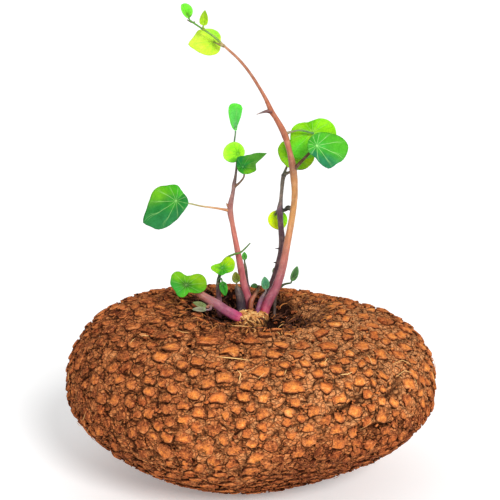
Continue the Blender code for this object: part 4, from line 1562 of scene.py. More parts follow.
    def straw(self) -> bpy.types.Object:
        """Builds a few pale straws and hair roots that lie on the bark.

        Returns:
            The piece.
        """
        rng = self.rng
        tried = rng.normal(size=(STRAWS.count * 3, 3))
        seats = unit_rows(tried * np.array([1.0, 1.0, 0.8]) + np.array([0.0, 0.3, 0.35]))
        points = self.form.surface(unit_rows(seats * np.array(self.straw_stretch)))
        points = points[points[:, 2] > self.lowest_straw][:STRAWS.count]
        count = len(points)
        return self.strands(STRAWS, points, rng.normal(0.0, 0.7, count), rng.uniform(*STRAWS.length, count),
                            rng.uniform(*STRAWS.radius, count), np.clip(rng.normal(0.65, 0.15, count), 0.3, 1.0))

    def seen_straws(self, sight: Sight) -> bpy.types.Object:
        """Builds the straws that stand out in the photograph.

        Args:
            sight: The photograph's view of the root.

        Returns:
            The piece.
        """
        paths, radii, tones = [], [], []
        for radius, tone, *line in self.seen:
            run = np.array(line, float)
            share = np.linspace(0.0, len(run) - 1.0, self.rings)
            places = np.column_stack([np.interp(share, np.arange(len(run)), run[:, axis]) for axis in (0, 1)])
            lift = 1.0 + 0.5 * np.sin(np.linspace(0.0, math.pi, self.rings))
            paths.append(self.form.lay(sight.spots(places), lift))
            radii.append(radius * np.sin(np.linspace(0.25, math.pi - 0.25, self.rings)))
            tones.append(tone)
        return self.tubes("seen_straws", "pale straw", np.array(paths), np.array(radii), np.array(tones))


@dataclass(frozen=True)
class Blade:
    """A leaf: hub, run to the tip, the way its upper side looks, its outline and its tints.

    A margin gives the outline as pairs of a turn in degrees from the tip and a reach from the hub. Without
    one, the outline comes from the half width. Accents are further tints towards a turn; some are painted shade.
    """

    name: str
    slot: str
    hub: Point
    tip: Point
    face: Point
    back: float
    half_width: float
    swell: float = 0.8
    base_round: float = 0.5
    tip_round: float = 0.7
    cup: float = 0.8
    fold: float = 0.0
    wave: float = 0.0
    waves: int = 5
    under: bool = True
    margin: tuple[tuple[float, float], ...] = ()
    tints: tuple[Colour, Colour, Colour] = ((90, 180, 60), (100, 190, 60), (130, 210, 60))
    accents: Stops = ()
    contrast: float = 0.6


@dataclass(frozen=True)
class Limb:
    """A round shoot or side branch: knots of (x, y, z, radius), the leaf it carries and its own skin, if any."""

    knots: Knots
    carries: str = ""
    skin: tuple[Colour, ...] = ()


@dataclass(frozen=True)
class Shoot:
    """A stem rooted in the crown at foot (x, y, radius), its limbs, and its skin from foot to tip."""

    name: str
    slot: str
    foot: Point
    main: Limb
    sides: tuple[Limb, ...]
    skin: Stops


BLADES = (
    Blade("leaf_tall_front", "leaf_green", (30.4, 1.5, 83.8), (13.8, -0.2, -5.8), (0.20, -0.85, 0.50), 4.6, 9.0,
          cup=1.2, wave=0.7, waves=4,
          margin=((5, 14.5), (20, 14.8), (30, 14.0), (45, 12.2), (60, 10.0), (85, 7.5), (110, 5.8), (150, 4.8),
                  (190, 4.4), (230, 4.8), (265, 5.2), (285, 6.4), (300, 9.5), (315, 12.5), (340, 12.5), (350, 13.8)),
          tints=((74, 182, 66), (62, 165, 40), (68, 158, 44)),
          # The teal accent towards 298 degrees is painted shade.
          accents=((298, (36, 122, 90)), (45, (80, 178, 30))), contrast=0.9),
    Blade("leaf_tall_back", "leaf_fresh", (29.0, 13.5, 88.1), (-3.4, 1.5, -16.0), (-0.15, 0.97, 0.12), 6.8, 11.6,
          cup=1.2, wave=0.7, waves=4,
          margin=((5, 14.0), (20, 15.5), (40, 13.2), (60, 11.2), (90, 10.2), (105, 8.8), (120, 7.0), (140, 5.6),
                  (160, 5.8), (180, 6.3), (200, 7.6), (220, 9.2), (240, 10.6), (260, 11.4), (280, 12.2), (300, 12.4),
                  (330, 12.0), (350, 12.4)),
          tints=((154, 222, 36), (116, 204, 18), (108, 196, 20)),
          accents=((28, (105, 227, 54)), (230, (146, 226, 20)), (95, (140, 210, 14))), contrast=0.36),
    Blade("leaf_tall_tip_broad", "leaf_lime", (-16.9, 1.0, 132.1), (-11.0, 1.3, -1.5), (0.10, 0.95, 0.10), 3.6, 5.7,
          cup=0.6, wave=0.3,
          margin=((0, 12.6), (12, 10.4), (25, 9.3), (40, 9.0), (55, 7.5), (75, 6.2), (100, 5.2), (125, 4.6),
                  (175, 3.0), (230, 3.8), (260, 5.6), (285, 6.5), (305, 7.5), (325, 8.4), (345, 10.0)),
          tints=((184, 232, 50), (198, 240, 58), (206, 244, 64)),
          accents=((100, (164, 236, 64)), (0, (212, 248, 72))), contrast=0.12),
    Blade("leaf_tall_tip_small", "leaf_lime", (-21.4, -4.9, 140.8), (0.9, 0.5, 5.7), (-0.40, -0.80, 0.30), 1.0, 2.2,
          swell=0.6, tip_round=0.8, fold=8.0, under=False,
          tints=((176, 232, 24), (186, 232, 32), (186, 222, 46)), accents=((0, (158, 196, 40)),), contrast=0.12),
    Blade("leaf_tall_bud", "leaf_fresh", (-28.7, -5.4, 144.2), (-2.5, 1.6, 4.6), (0.30, -0.80, 0.50), 1.4, 3.2,
          swell=0.9, tip_round=0.5, cup=1.2, fold=35.0, under=False,
          tints=((100, 170, 20), (130, 228, 60), (140, 232, 80)), accents=((200, (84, 140, 26)),), contrast=0.2),
    Blade("leaf_left_broad", "leaf_green", (-35.1, 0.0, 57.9), (-15.0, -1.8, -10.4), (-0.25, -0.80, 0.50), 5.4, 9.6,
          cup=1.4, wave=0.5,
          margin=((0, 18.9), (6, 17.9), (15, 16.8), (25, 16.6), (32, 15.2), (42, 12.8), (52, 10.3), (75, 7.6),
                  (110, 6.2), (140, 6.0), (170, 5.2), (195, 4.9), (215, 5.8), (232, 7.6), (250, 8.4), (270, 9.6),
                  (283, 11.4), (298, 12.4), (320, 12.9), (340, 14.8), (352, 17.2)),
          tints=((64, 162, 46), (38, 130, 52), (48, 132, 58)),
          accents=((282, (112, 184, 14)), (45, (40, 120, 66)), (230, (64, 170, 26))), contrast=0.65),
    Blade("leaf_left_spoon", "leaf_fresh", (-7.4, 12.0, 90.2), (0.3, 1.6, 11.2), (0.30, -0.90, 0.20), 1.4, 3.1,
          cup=0.8, fold=8.0, under=False,
          margin=((0, 11.8), (12, 12.0), (20, 11.4), (26, 9.6), (31, 7.4), (40, 4.6), (60, 2.4), (100, 1.2),
                  (150, 1.0), (210, 1.0), (260, 0.7), (300, 0.8), (328, 1.6), (334, 3.4), (338, 6.5), (341, 9.6),
                  (347, 11.2)),
          tints=((91, 168, 100), (89, 196, 81), (97, 215, 59)), contrast=0.3),
    Blade("leaf_left_round", "leaf_lime", (-6.1, 7.3, 79.0), (-5.2, 2.7, 1.9), (-0.30, -0.85, 0.40), 3.9, 4.9,
          cup=0.8,
          margin=((5, 7.2), (30, 7.2), (45, 7.0), (60, 6.2), (85, 5.0), (115, 3.4), (185, 3.0), (245, 3.6),
                  (275, 4.4), (295, 5.2), (320, 6.2), (345, 6.8)),
          # The dark green accent towards 110 degrees is painted shade cast by the pointed leaf's base.
          tints=((112, 204, 22), (160, 238, 38), (173, 244, 63)), accents=((110, (65, 168, 32)),), contrast=0.15),
    Blade("leaf_left_pointed", "leaf_deep", (-4.0, 2.7, 73.6), (11.3, 2.2, 4.6), (0.15, -0.90, 0.35), 3.6, 5.1,
          cup=0.8, fold=14.0, wave=0.4,
          margin=((1, 9.5), (5, 15.0), (9, 11.6), (20, 9.4), (35, 6.6), (60, 5.2), (100, 5.0), (120, 3.4),
                  (170, 2.6), (220, 3.0), (265, 3.8), (300, 5.2), (320, 6.6), (335, 6.2), (350, 6.2)),
          tints=((26, 124, 50), (34, 132, 24), (46, 140, 24)),
          accents=((305, (110, 176, 10)), (110, (20, 116, 54)), (0, (74, 132, 40))), contrast=0.18),
    Blade("leaf_back_round", "leaf_lime", (11.8, 26.2, 45.8), (3.0, 0.2, -8.0), (0.10, 0.95, 0.05), 1.6, 4.8,
          swell=0.9, tip_round=0.5, cup=0.7,
          tints=((181, 241, 8), (222, 255, 14), (236, 255, 40)), accents=((300, (146, 248, 34)),), contrast=0.3),
    Blade("leaf_back_top", "leaf_fresh", (20.1, 20.8, 74.4), (9.1, -0.9, -4.2), (0.05, -0.90, 0.30), 7.0, 6.4,
          cup=0.8, wave=0.4,
          margin=((0, 8.8), (20, 10.0), (40, 10.5), (65, 9.5), (100, 8.6), (125, 9.0), (150, 9.4), (175, 8.6),
                  (200, 6.6), (235, 5.2), (265, 5.0), (300, 5.2), (335, 6.8)),
          tints=((122, 190, 28), (134, 202, 20), (150, 208, 26)), accents=((40, (168, 212, 26)),), contrast=0.3),
    Blade("leaf_back_small", "leaf_deep", (23.2, 22.2, 69.0), (4.4, 1.2, 0.8), (0.10, -0.50, 0.80), 0.9, 1.3,
          tip_round=0.6, fold=12.0, cup=0.2, under=False,
          tints=((63, 66, 22), (75, 86, 26), (108, 126, 38)), contrast=0.2),
    Blade("leaf_stub_lobed", "leaf_fresh", (-30.4, -10.0, 19.8), (9.0, 0.0, 0.4), (0.00, -0.65, 0.75), 7.6, 6.9,
          cup=1.2, wave=0.5, waves=2,
          margin=((10, 9.5), (25, 9.0), (40, 8.0), (50, 6.8), (65, 5.2), (85, 4.8), (100, 5.8), (112, 8.0),
                  (125, 9.0), (140, 8.9), (155, 8.0), (175, 7.5), (195, 6.6), (215, 6.2), (230, 7.0), (245, 7.8),
                  (260, 7.5), (270, 6.0), (283, 4.2), (300, 4.8), (315, 7.0), (330, 9.0), (345, 9.8)),
          tints=((53, 97, 17), (74, 155, 26), (86, 167, 34)),
          accents=((30, (136, 182, 14)), (120, (119, 183, 21)), (250, (78, 175, 34)), (200, (53, 150, 53))),
          contrast=0.35),
    Blade("leaf_stub_upper", "leaf_sage", (-22.0, -12.6, 10.2), (-5.4, 0.4, 1.7), (0.10, -0.60, 0.80), 1.0, 1.6,
          cup=0.2, fold=15.0, under=False, tints=((126, 117, 75), (119, 126, 81), (135, 143, 98)), contrast=0.3),
    Blade("leaf_stub_lower", "leaf_sage", (-21.9, -16.8, 9.8), (-5.6, -1.4, 0.5), (0.10, -0.60, 0.80), 1.0, 1.4,
          cup=0.2, fold=15.0, under=False, tints=((123, 112, 102), (135, 130, 110), (154, 152, 127)), contrast=0.3),
    Blade("leaf_shoot_upper", "leaf_lime", (-13.8, 4.3, 24.2), (7.0, 1.0, 1.2), (0.00, -0.70, 0.70), 5.0, 4.6,
          cup=0.8, wave=0.8, waves=3,
          margin=((10, 6.5), (25, 6.6), (45, 6.6), (60, 6.0), (75, 4.0), (100, 3.2), (130, 3.2), (150, 4.2),
                  (165, 5.6), (180, 5.2), (195, 4.0), (220, 3.5), (255, 4.5), (285, 3.6), (315, 4.0), (335, 5.4)),
          tints=((38, 147, 34), (98, 180, 14), (148, 202, 8)),
          accents=((40, (170, 208, 8)), (170, (134, 202, 14)), (265, (44, 156, 34))), contrast=0.3),
    Blade("leaf_shoot_lower", "leaf_green", (-13.6, 1.2, 17.2), (1.2, -2.2, -5.2), (0.10, -0.95, 0.20), 1.2, 2.0,
          cup=0.4, fold=18.0, wave=0.5, under=False,
          tints=((28, 104, 34), (46, 138, 34), (76, 166, 52)), contrast=0.2),
    Blade("leaf_middle_bud", "leaf_lime", (-7.2, 9.2, 16.6), (-0.4, 0.4, 4.4), (0.00, -0.90, 0.10), 1.0, 2.1,
          cup=0.5, fold=25.0, tip_round=0.6, under=False,
          tints=((99, 94, 38), (126, 126, 46), (145, 148, 59)), contrast=0.4),
    Blade("leaf_behind_small", "leaf_fresh", (-3.3, 18.0, 25.6), (-0.1, 0.4, 3.0), (0.10, -0.90, 0.10), 0.9, 1.4,
          cup=0.2, fold=15.0, under=False, tints=((44, 126, 38), (72, 159, 54), (99, 181, 78)), contrast=0.3),
    Blade("leaf_violet", "leaf_green", (6.8, 4.6, 14.8), (-0.5, 1.2, 4.8), (0.20, -0.90, 0.20), 1.1, 2.1,
          cup=0.4, fold=15.0, under=False, tints=((84, 130, 96), (70, 134, 100), (104, 160, 116)), contrast=0.25),
    Blade("leaf_short", "leaf_deep", (2.3, 12.6, 13.0), (-2.6, -0.9, 0.1), (0.20, -0.60, 0.70), 0.8, 1.4,
          cup=0.2, fold=15.0, under=False, tints=((44, 81, 43), (50, 94, 49), (68, 112, 62)), contrast=0.3),
    Blade("leaf_right", "leaf_deep", (20.0, 12.6, 16.8), (2.2, 1.6, 5.8), (0.50, -0.80, 0.10), 1.2, 2.1,
          cup=0.3, fold=15.0, under=False, tints=((48, 78, 44), (66, 104, 58), (98, 146, 88)), contrast=0.3),
    Blade("leaf_far", "leaf_fresh", (11.6, 23.2, 16.8), (-0.3, 0.5, 2.6), (0.20, -0.90, 0.20), 0.8, 1.2,
          cup=0.2, under=False, tints=((72, 126, 46), (99, 154, 62), (126, 177, 78)), contrast=0.3),
)

SHOOTS = (
    Shoot("stem_tall", "stem_tan", (5.4, 5.2, 2.3), Limb(
        ((6.9, 6.1, 4.0, 2.45), (9.0, 7.0, 8.5, 2.35), (12.0, 8.0, 14.0, 2.2), (14.9, 9.0, 23.0, 1.95),
         (17.1, 10.0, 34.0, 1.7), (19.3, 11.0, 46.0, 1.52), (20.6, 11.0, 58.4, 1.5), (19.8, 10.0, 70.7, 1.75),
         (17.9, 9.0, 80.4, 1.3), (15.5, 8.0, 88.2, 1.55), (11.4, 6.2, 96.0, 1.2), (9.3, 5.2, 99.4, 1.25),
         (6.0, 4.0, 106.6, 0.85), (0.0, 2.0, 116.6, 0.7), (-5.5, 0.0, 123.7, 0.64), (-11.8, -2.0, 129.8, 0.58),
         (-17.2, -3.0, 134.8, 0.48), (-22.6, -4.0, 138.5, 0.42)), "leaf_tall_bud"), (
        Limb(((19.8, 10.0, 70.7, 1.0), (23.6, 8.0, 75.2, 0.75), (27.2, 5.4, 79.6, 0.65)), "leaf_tall_front",
             ((84, 50, 30), (76, 54, 18), (80, 86, 26))),
        Limb(((15.5, 8.0, 88.2, 0.8), (18.6, 8.2, 89.2, 0.5), (23.0, 9.4, 89.7, 0.42)), "leaf_tall_back",
             ((150, 116, 86), (90, 140, 70), (60, 140, 84))),
        Limb(((9.3, 5.2, 99.4, 1.0), (6.5, 4.2, 99.4, 0.6), (2.4, 3.0, 98.2, 0.18)), "",
             ((110, 56, 46), (90, 56, 56), (170, 160, 156))),
        Limb(((-12.4, -2.3, 130.3, 0.6), (-14.4, -2.6, 131.0, 0.5)), "leaf_tall_tip_broad",
             ((130, 110, 50), (110, 150, 20))),
        Limb(((-21.4, -3.9, 137.7, 0.5), (-21.7, -4.4, 138.5, 0.45)), "leaf_tall_tip_small",
             ((120, 150, 40), (150, 190, 40))),
        Limb(((-25.4, -4.7, 141.0, 0.4), (-27.2, -5.0, 141.3, 0.3), (-29.0, -5.4, 142.4, 0.2)), "",
             ((110, 110, 60), (96, 90, 80))),
    ), ((0.0, (206, 48, 92)), (0.05, (156, 68, 92)), (0.12, (164, 86, 98)), (0.20, (188, 112, 94)),
        (0.30, (204, 146, 84)), (0.41, (184, 128, 72)), (0.46, (146, 94, 66)), (0.52, (178, 104, 74)),
        (0.66, (170, 96, 64)), (0.80, (168, 106, 74)), (0.85, (178, 120, 86)), (0.875, (200, 154, 116)),
        (0.892, (110, 156, 44)), (1.0, (76, 150, 36)))),
    Shoot("stem_left", "stem_rose", (-0.5, 13.5, 1.8), Limb(
        ((-1.0, 14.0, 4.0, 1.9), (-1.7, 14.0, 7.0, 1.95), (-3.9, 14.0, 14.6, 1.8), (-5.3, 13.0, 23.4, 1.6),
         (-7.1, 12.0, 33.6, 1.35), (-8.9, 11.0, 43.7, 1.2), (-10.1, 10.0, 51.8, 1.4), (-8.7, 10.0, 60.0, 0.9),
         (-8.2, 10.0, 63.6, 1.0), (-7.3, 10.0, 69.0, 0.6), (-6.7, 10.2, 77.0, 0.5), (-8.0, 10.8, 82.4, 0.42)),
        "leaf_left_spoon"), (
        Limb(((-10.0, 10.0, 51.0, 0.7), (-16.1, 8.0, 52.6, 0.5), (-23.6, 6.0, 54.1, 0.42),
              (-29.2, 4.0, 55.8, 0.38)), "leaf_left_broad",
             ((196, 124, 76), (206, 158, 106), (176, 176, 116), (130, 170, 90))),
        Limb(((-6.7, 10.0, 75.6, 0.55), (-6.0, 8.9, 76.8, 0.45)), "leaf_left_round", ((70, 70, 50), (110, 150, 40))),
        Limb(((-8.0, 10.0, 62.9, 0.7), (-5.7, 8.2, 64.8, 0.5), (-3.4, 5.8, 68.6, 0.42)), "leaf_left_pointed",
             ((116, 84, 66), (120, 104, 76), (110, 120, 80))),
        Limb(((-10.0, 10.0, 52.2, 0.7), (-11.2, 9.4, 53.6, 0.5), (-11.7, 9.0, 54.9, 0.2)), "",
             ((180, 96, 70), (150, 110, 70)))),
        ((0.0, (168, 60, 92)), (0.12, (182, 84, 102)), (0.35, (200, 108, 102)), (0.52, (200, 120, 102)),
         (0.62, (160, 102, 96)), (0.74, (112, 88, 84)), (0.86, (76, 78, 58)), (0.94, (66, 104, 62)),
         (1.0, (70, 140, 80)))),
    Shoot("stem_back", "stem_mauve", (5.5, 15.0, 1.8), Limb(
        ((6.2, 16.0, 3.4, 1.9), (10.2, 18.0, 12.0, 1.85), (13.8, 20.0, 23.1, 1.8), (15.1, 21.0, 31.4, 1.7),
         (14.4, 22.0, 41.2, 1.35), (13.9, 22.0, 48.6, 1.55), (14.3, 22.0, 53.0, 1.0), (14.7, 22.0, 58.0, 0.88),
         (15.6, 22.0, 65.4, 1.05), (18.2, 22.2, 67.2, 0.65)), "leaf_back_small"), (
        Limb(((15.6, 22.0, 65.4, 0.9), (16.6, 22.4, 68.6, 0.6), (18.2, 23.2, 71.8, 0.5)), "leaf_back_top",
             ((90, 84, 76), (96, 120, 70))),
        Limb(((13.9, 22.0, 48.6, 1.0), (16.2, 21.5, 48.8, 0.8), (17.8, 21.0, 50.0, 1.2),
              (19.4, 20.5, 49.6, 0.9), (20.4, 20.2, 50.2, 0.3)), "", ((56, 50, 44), (50, 54, 46), (66, 66, 50))),
        Limb(((13.9, 22.0, 48.6, 0.8), (12.6, 23.6, 47.8, 0.6)), "leaf_back_round", ((60, 50, 50), (90, 110, 40))),
        Limb(((15.1, 21.0, 33.4, 1.0), (16.6, 20.4, 35.2, 0.6), (17.2, 20.2, 36.8, 0.2)), "",
             ((70, 44, 50), (60, 40, 44))),
        Limb(((13.8, 20.0, 22.4, 0.9), (12.2, 19.2, 23.0, 0.45), (10.9, 18.8, 23.2, 0.15)), "",
             ((70, 44, 50), (60, 40, 44))),
        Limb(((15.0, 20.9, 29.4, 0.8), (13.2, 20.0, 29.9, 0.35), (11.6, 19.4, 30.1, 0.12)), "",
             ((78, 52, 58), (110, 92, 92)))),
        ((0.0, (88, 46, 60)), (0.2, (102, 62, 72)), (0.5, (94, 64, 72)), (0.68, (86, 54, 76)),
         (0.76, (126, 114, 102)), (0.9, (110, 102, 88)), (1.0, (60, 54, 40)))),
    Shoot("stub_left", "stem_rose", (-1.5, -2.6, 2.2), Limb(
        ((-5.7, -3.4, 1.9, 2.5), (-11.4, -5.0, 5.4, 2.45), (-17.0, -7.0, 9.9, 2.3), (-21.6, -8.0, 13.1, 2.0),
         (-25.6, -8.4, 16.0, 1.3)), "leaf_stub_lobed"), (
        Limb(((-17.0, -7.2, 9.6, 1.0), (-19.4, -9.8, 9.6, 0.8), (-20.6, -11.6, 9.8, 0.6)), "leaf_stub_upper",
             ((160, 96, 84), (170, 112, 90))),
        Limb(((-19.2, -9.6, 9.4, 0.7), (-19.0, -13.4, 9.3, 0.6)), "leaf_stub_lower",
             ((150, 110, 110), (140, 110, 120)))),
        ((0.0, (212, 42, 96)), (0.12, (200, 52, 108)), (0.26, (180, 76, 118)), (0.45, (162, 92, 116)),
         (0.62, (166, 106, 106)), (0.78, (174, 100, 80)), (0.92, (148, 106, 70)), (1.0, (96, 130, 54)))),
    Shoot("shoot_left", "stem_mauve", (-15.8, 5.0, 1.7), Limb(
        ((-15.4, 5.0, 6.6, 1.35), (-15.8, 5.2, 12.1, 1.15), (-15.8, 5.6, 17.6, 0.9), (-15.0, 5.8, 20.4, 0.7)),
        "leaf_shoot_upper"), (
        Limb(((-15.8, 5.4, 15.6, 0.8), (-14.8, 9.0, 23.0, 0.55), (-12.5, 9.4, 27.5, 0.5), (-8.1, 7.5, 30.3, 0.5),
              (-4.8, 6.5, 31.6, 0.45), (-0.5, 5.5, 36.2, 0.3)), "", ((84, 120, 44), (100, 150, 50), (80, 120, 60))),
        Limb(((-15.8, 5.5, 17.0, 0.6), (-14.8, 3.8, 19.2, 0.45)), "leaf_shoot_lower", ((70, 90, 60), (70, 130, 60)))),
        ((0.0, (130, 62, 84)), (0.3, (142, 84, 100)), (0.55, (120, 84, 90)), (0.75, (66, 72, 56)),
         (1.0, (60, 120, 50)))),
    Shoot("shoot_middle", "stem_grey_green", (-4.6, 8.5, 2.2), Limb(
        ((-4.9, 9.0, 3.0, 2.3), (-5.3, 9.0, 8.0, 2.1), (-6.6, 9.0, 12.5, 1.5)), "leaf_middle_bud"), (),
        ((0.0, (44, 28, 38)), (0.5, (56, 42, 54)), (0.85, (84, 70, 66)), (1.0, (110, 96, 56)))),
    Shoot("shoot_behind", "stem_mauve", (-0.5, 19.5, 1.0), Limb(
        ((-1.0, 20.0, 5.8, 1.0), (-2.0, 19.2, 12.2, 0.9), (-2.9, 18.2, 20.6, 0.8)), "leaf_behind_small"), (),
        ((0.0, (56, 28, 40)), (0.5, (76, 42, 54)), (1.0, (70, 96, 60)))),
    Shoot("shoot_short", "stem_tan", (-0.2, 8.4, 1.2), Limb(
        ((0.0, 9.0, 5.5, 1.2), (1.8, 11.0, 9.0, 1.0), (3.2, 12.4, 10.8, 0.7)), "leaf_short"), (),
        ((0.0, (150, 80, 50)), (0.6, (170, 96, 66)), (1.0, (96, 100, 66)))),
    Shoot("shoot_violet", "stem_mauve", (2.4, 1.8, 1.1), Limb(
        ((3.4, 3.0, 4.9, 1.1), (5.0, 4.0, 9.4, 1.0)), "leaf_violet"), (),
        ((0.0, (130, 54, 100)), (0.5, (122, 66, 100)), (1.0, (110, 110, 96)))),
    Shoot("shoot_right", "stem_grey_green", (11.2, 13.0, 0.9), Limb(
        ((11.9, 14.0, 7.6, 0.8), (15.1, 14.0, 12.9, 0.6)), "leaf_right"), (),
        ((0.0, (60, 36, 40)), (0.5, (84, 70, 56)), (1.0, (70, 104, 56)))),
    Shoot("shoot_far", "stem_grey_green", (8.6, 20.6, 0.9), Limb(
        ((8.6, 21.2, 5.8, 0.9), (9.8, 22.6, 11.0, 0.8)), "leaf_far"), (),
        ((0.0, (96, 48, 60)), (0.5, (110, 66, 66)), (1.0, (96, 120, 66)))),
)


@dataclass
class Foliage:
    """All leaves, each a thin cupped blade round its hub."""

    crown: Point = (7.6, -2.0, 80.0)
    rings: int = 14
    steps: int = 64
    thickness: float = 0.36
    quilt: float = 0.16
    petiole_reach: float = 1.6
    gap: float = 0.3
    approach: float = 0.8
    overlap: float = 0.3
    pleats: float = 5.5
    fully_quilted: float = 6.0
    soft_turns: tuple[float, ...] = (-3.0, -1.0, 1.0, 3.0)
    accent_strength: float = 0.85
    mottle: float = 0.10
    mottle_size: float = 5.0

    @staticmethod
    def axes(blade: Blade) -> tuple[np.ndarray, np.ndarray, np.ndarray]:
        """Finds how a blade lies.

        Args:
            blade: The leaf.

        Returns:
            Unit vectors along the midrib, across it, and out of the upper side.
        """
        along = unit_rows(np.array(blade.tip))
        face = np.array(blade.face)
        face = unit_rows(face - along * (face @ along))
        return along, np.cross(face, along), face

    def seat(self, blade: Blade) -> tuple[np.ndarray, np.ndarray]:
        """Finds where a leaf's stalk ends.

        Args:
            blade: The leaf.

        Returns:
            The stalk's last two points: one short of the blade, and one that meets it.
        """
        along, _, face = self.axes(blade)
        hub = np.array(blade.hub)
        if blade.under:
            return hub - face * self.petiole_reach, hub - face * (0.5 * self.thickness)
        base = hub - along * blade.back
        return base - along * (self.gap + self.approach), base + along * self.overlap

    def outline(self, blade: Blade, turn: np.ndarray) -> tuple[np.ndarray, np.ndarray]:
        """Finds the margin of a blade.

        Args:
            blade: The leaf.
            turn: Turns round the hub, in radians from the tip.

        Returns:
            Distances along and across the midrib, from the hub to the margin.
        """
        if blade.margin:
            places, reaches = np.array(blade.margin, float).T
            near = [np.degrees(turn + step) for step in np.radians(np.array(self.soft_turns))]
            reach = np.mean([np.interp(degrees, places, reaches, period=360.0) for degrees in near], axis=0)
            return reach * np.cos(turn), reach * np.sin(turn)
        length = np.linalg.norm(blade.tip) + blade.back
        share = 0.5 * (1.0 + np.cos(turn))
        blunt = blade.base_round + (blade.tip_round - blade.base_round) * share
        width = blade.half_width * np.maximum(np.sin(math.pi * share**blade.swell), 0.0) ** blunt
        return share * length - blade.back, np.copysign(width, np.sin(turn))

    def blank_disc(self) -> bmesh.types.BMesh:
        """Makes a flat disc of radius 1 by turning a row of edges.

        Returns:
            The disc.
        """
        disc = bmesh.new()
        row = [disc.verts.new((index / self.rings, 0.0, 0.0)) for index in range(self.rings + 1)]
        edges = [disc.edges.new(pair) for pair in zip(row, row[1:])]
        bmesh.ops.spin(disc, geom=[*row, *edges], cent=(0.0, 0.0, 0.0), axis=(0.0, 0.0, 1.0),
                       angle=2.0 * math.pi, steps=self.steps, use_merge=True)
        bmesh.ops.remove_doubles(disc, verts=disc.verts, dist=1e-5)
        bmesh.ops.recalc_face_normals(disc, faces=disc.faces)
        return disc

    def build(self, blade: Blade, material: bpy.types.Material) -> bpy.types.Object:
        """Builds one leaf.

        Args:
            blade: Its sizes and tints.
            material: The leaf finish.

        Returns:
            The piece, which replaces its CAD node.
        """
        mesh, corner = repeated(self.blank_disc(), 1)
        share = np.hypot(corner[:, 0], corner[:, 1])
        turn = np.arctan2(corner[:, 1], corner[:, 0])
        run, side = self.outline(blade, turn)
        run, side = run * share, side * share
        reach = np.linalg.norm(blade.tip)
        angle = np.arctan2(side, run)
        tilt = math.radians(blade.fold)
        rise = blade.cup * (run**2 + side**2) / reach**2 + blade.wave * share**2 * np.sin(blade.waves * angle)
        rise += np.abs(side) * math.sin(tilt)
        pleat = np.abs(np.sin(angle * self.pleats))
        rise += self.quilt * pleat * np.sin(math.pi * share) * min(blade.half_width / self.fully_quilted, 1.0)
        along, across, face = self.axes(blade)
        hub = np.array(blade.hub) + np.array(self.crown)
        points = hub + along * run[:, None] + across * (side * math.cos(tilt))[:, None] + face * rise[:, None]
        write_points(mesh, points)
        note(mesh, "flat", np.column_stack([run, side, share]))
        note(mesh, "blade", self.tinted(blade, share, angle, points))
        note(mesh, "vein", np.full(len(points), blade.contrast))
        piece = finished(f"blade_{blade.name}", mesh, material)
        wall = piece.modifiers.new("thickness", "SOLIDIFY")
        wall.thickness = self.thickness * MM
        wall.offset = 0.0
        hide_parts(blade.name)
        return piece

    def tinted(self, blade: Blade, share: np.ndarray, angle: np.ndarray, points: np.ndarray) -> np.ndarray:
        """Colours a blade from hub to margin, with its accents towards their turns, some of which are painted shade.

        Args:
            blade: The leaf.
            share: Place of each vertex between hub and margin.
            angle: Its turn round the hub, in radians.
            points: Its place, which varies the colour a little.

        Returns:
            One colour a vertex.
        """
        hub, middle, margin = (np.array(linear(tint)) for tint in blade.tints)
        inner = smooth_step(0.0, 0.5, share)[:, None]
        outer = smooth_step(0.6, 1.05, share)[:, None]
        colour = hub * (1.0 - inner) + middle * inner
        colour = colour * (1.0 - outer) + margin * outer
        for toward, accent in blade.accents:
            near = np.cos(angle - math.radians(toward))
            amount = self.accent_strength * (smooth_step(0.45, 0.95, near) * smooth_step(0.15, 0.7, share))[:, None]
            colour = colour * (1.0 - amount) + np.array(linear(accent)) * amount
        return colour * (1.0 + self.mottle * cloud(points, self.mottle_size, 2))[:, None]


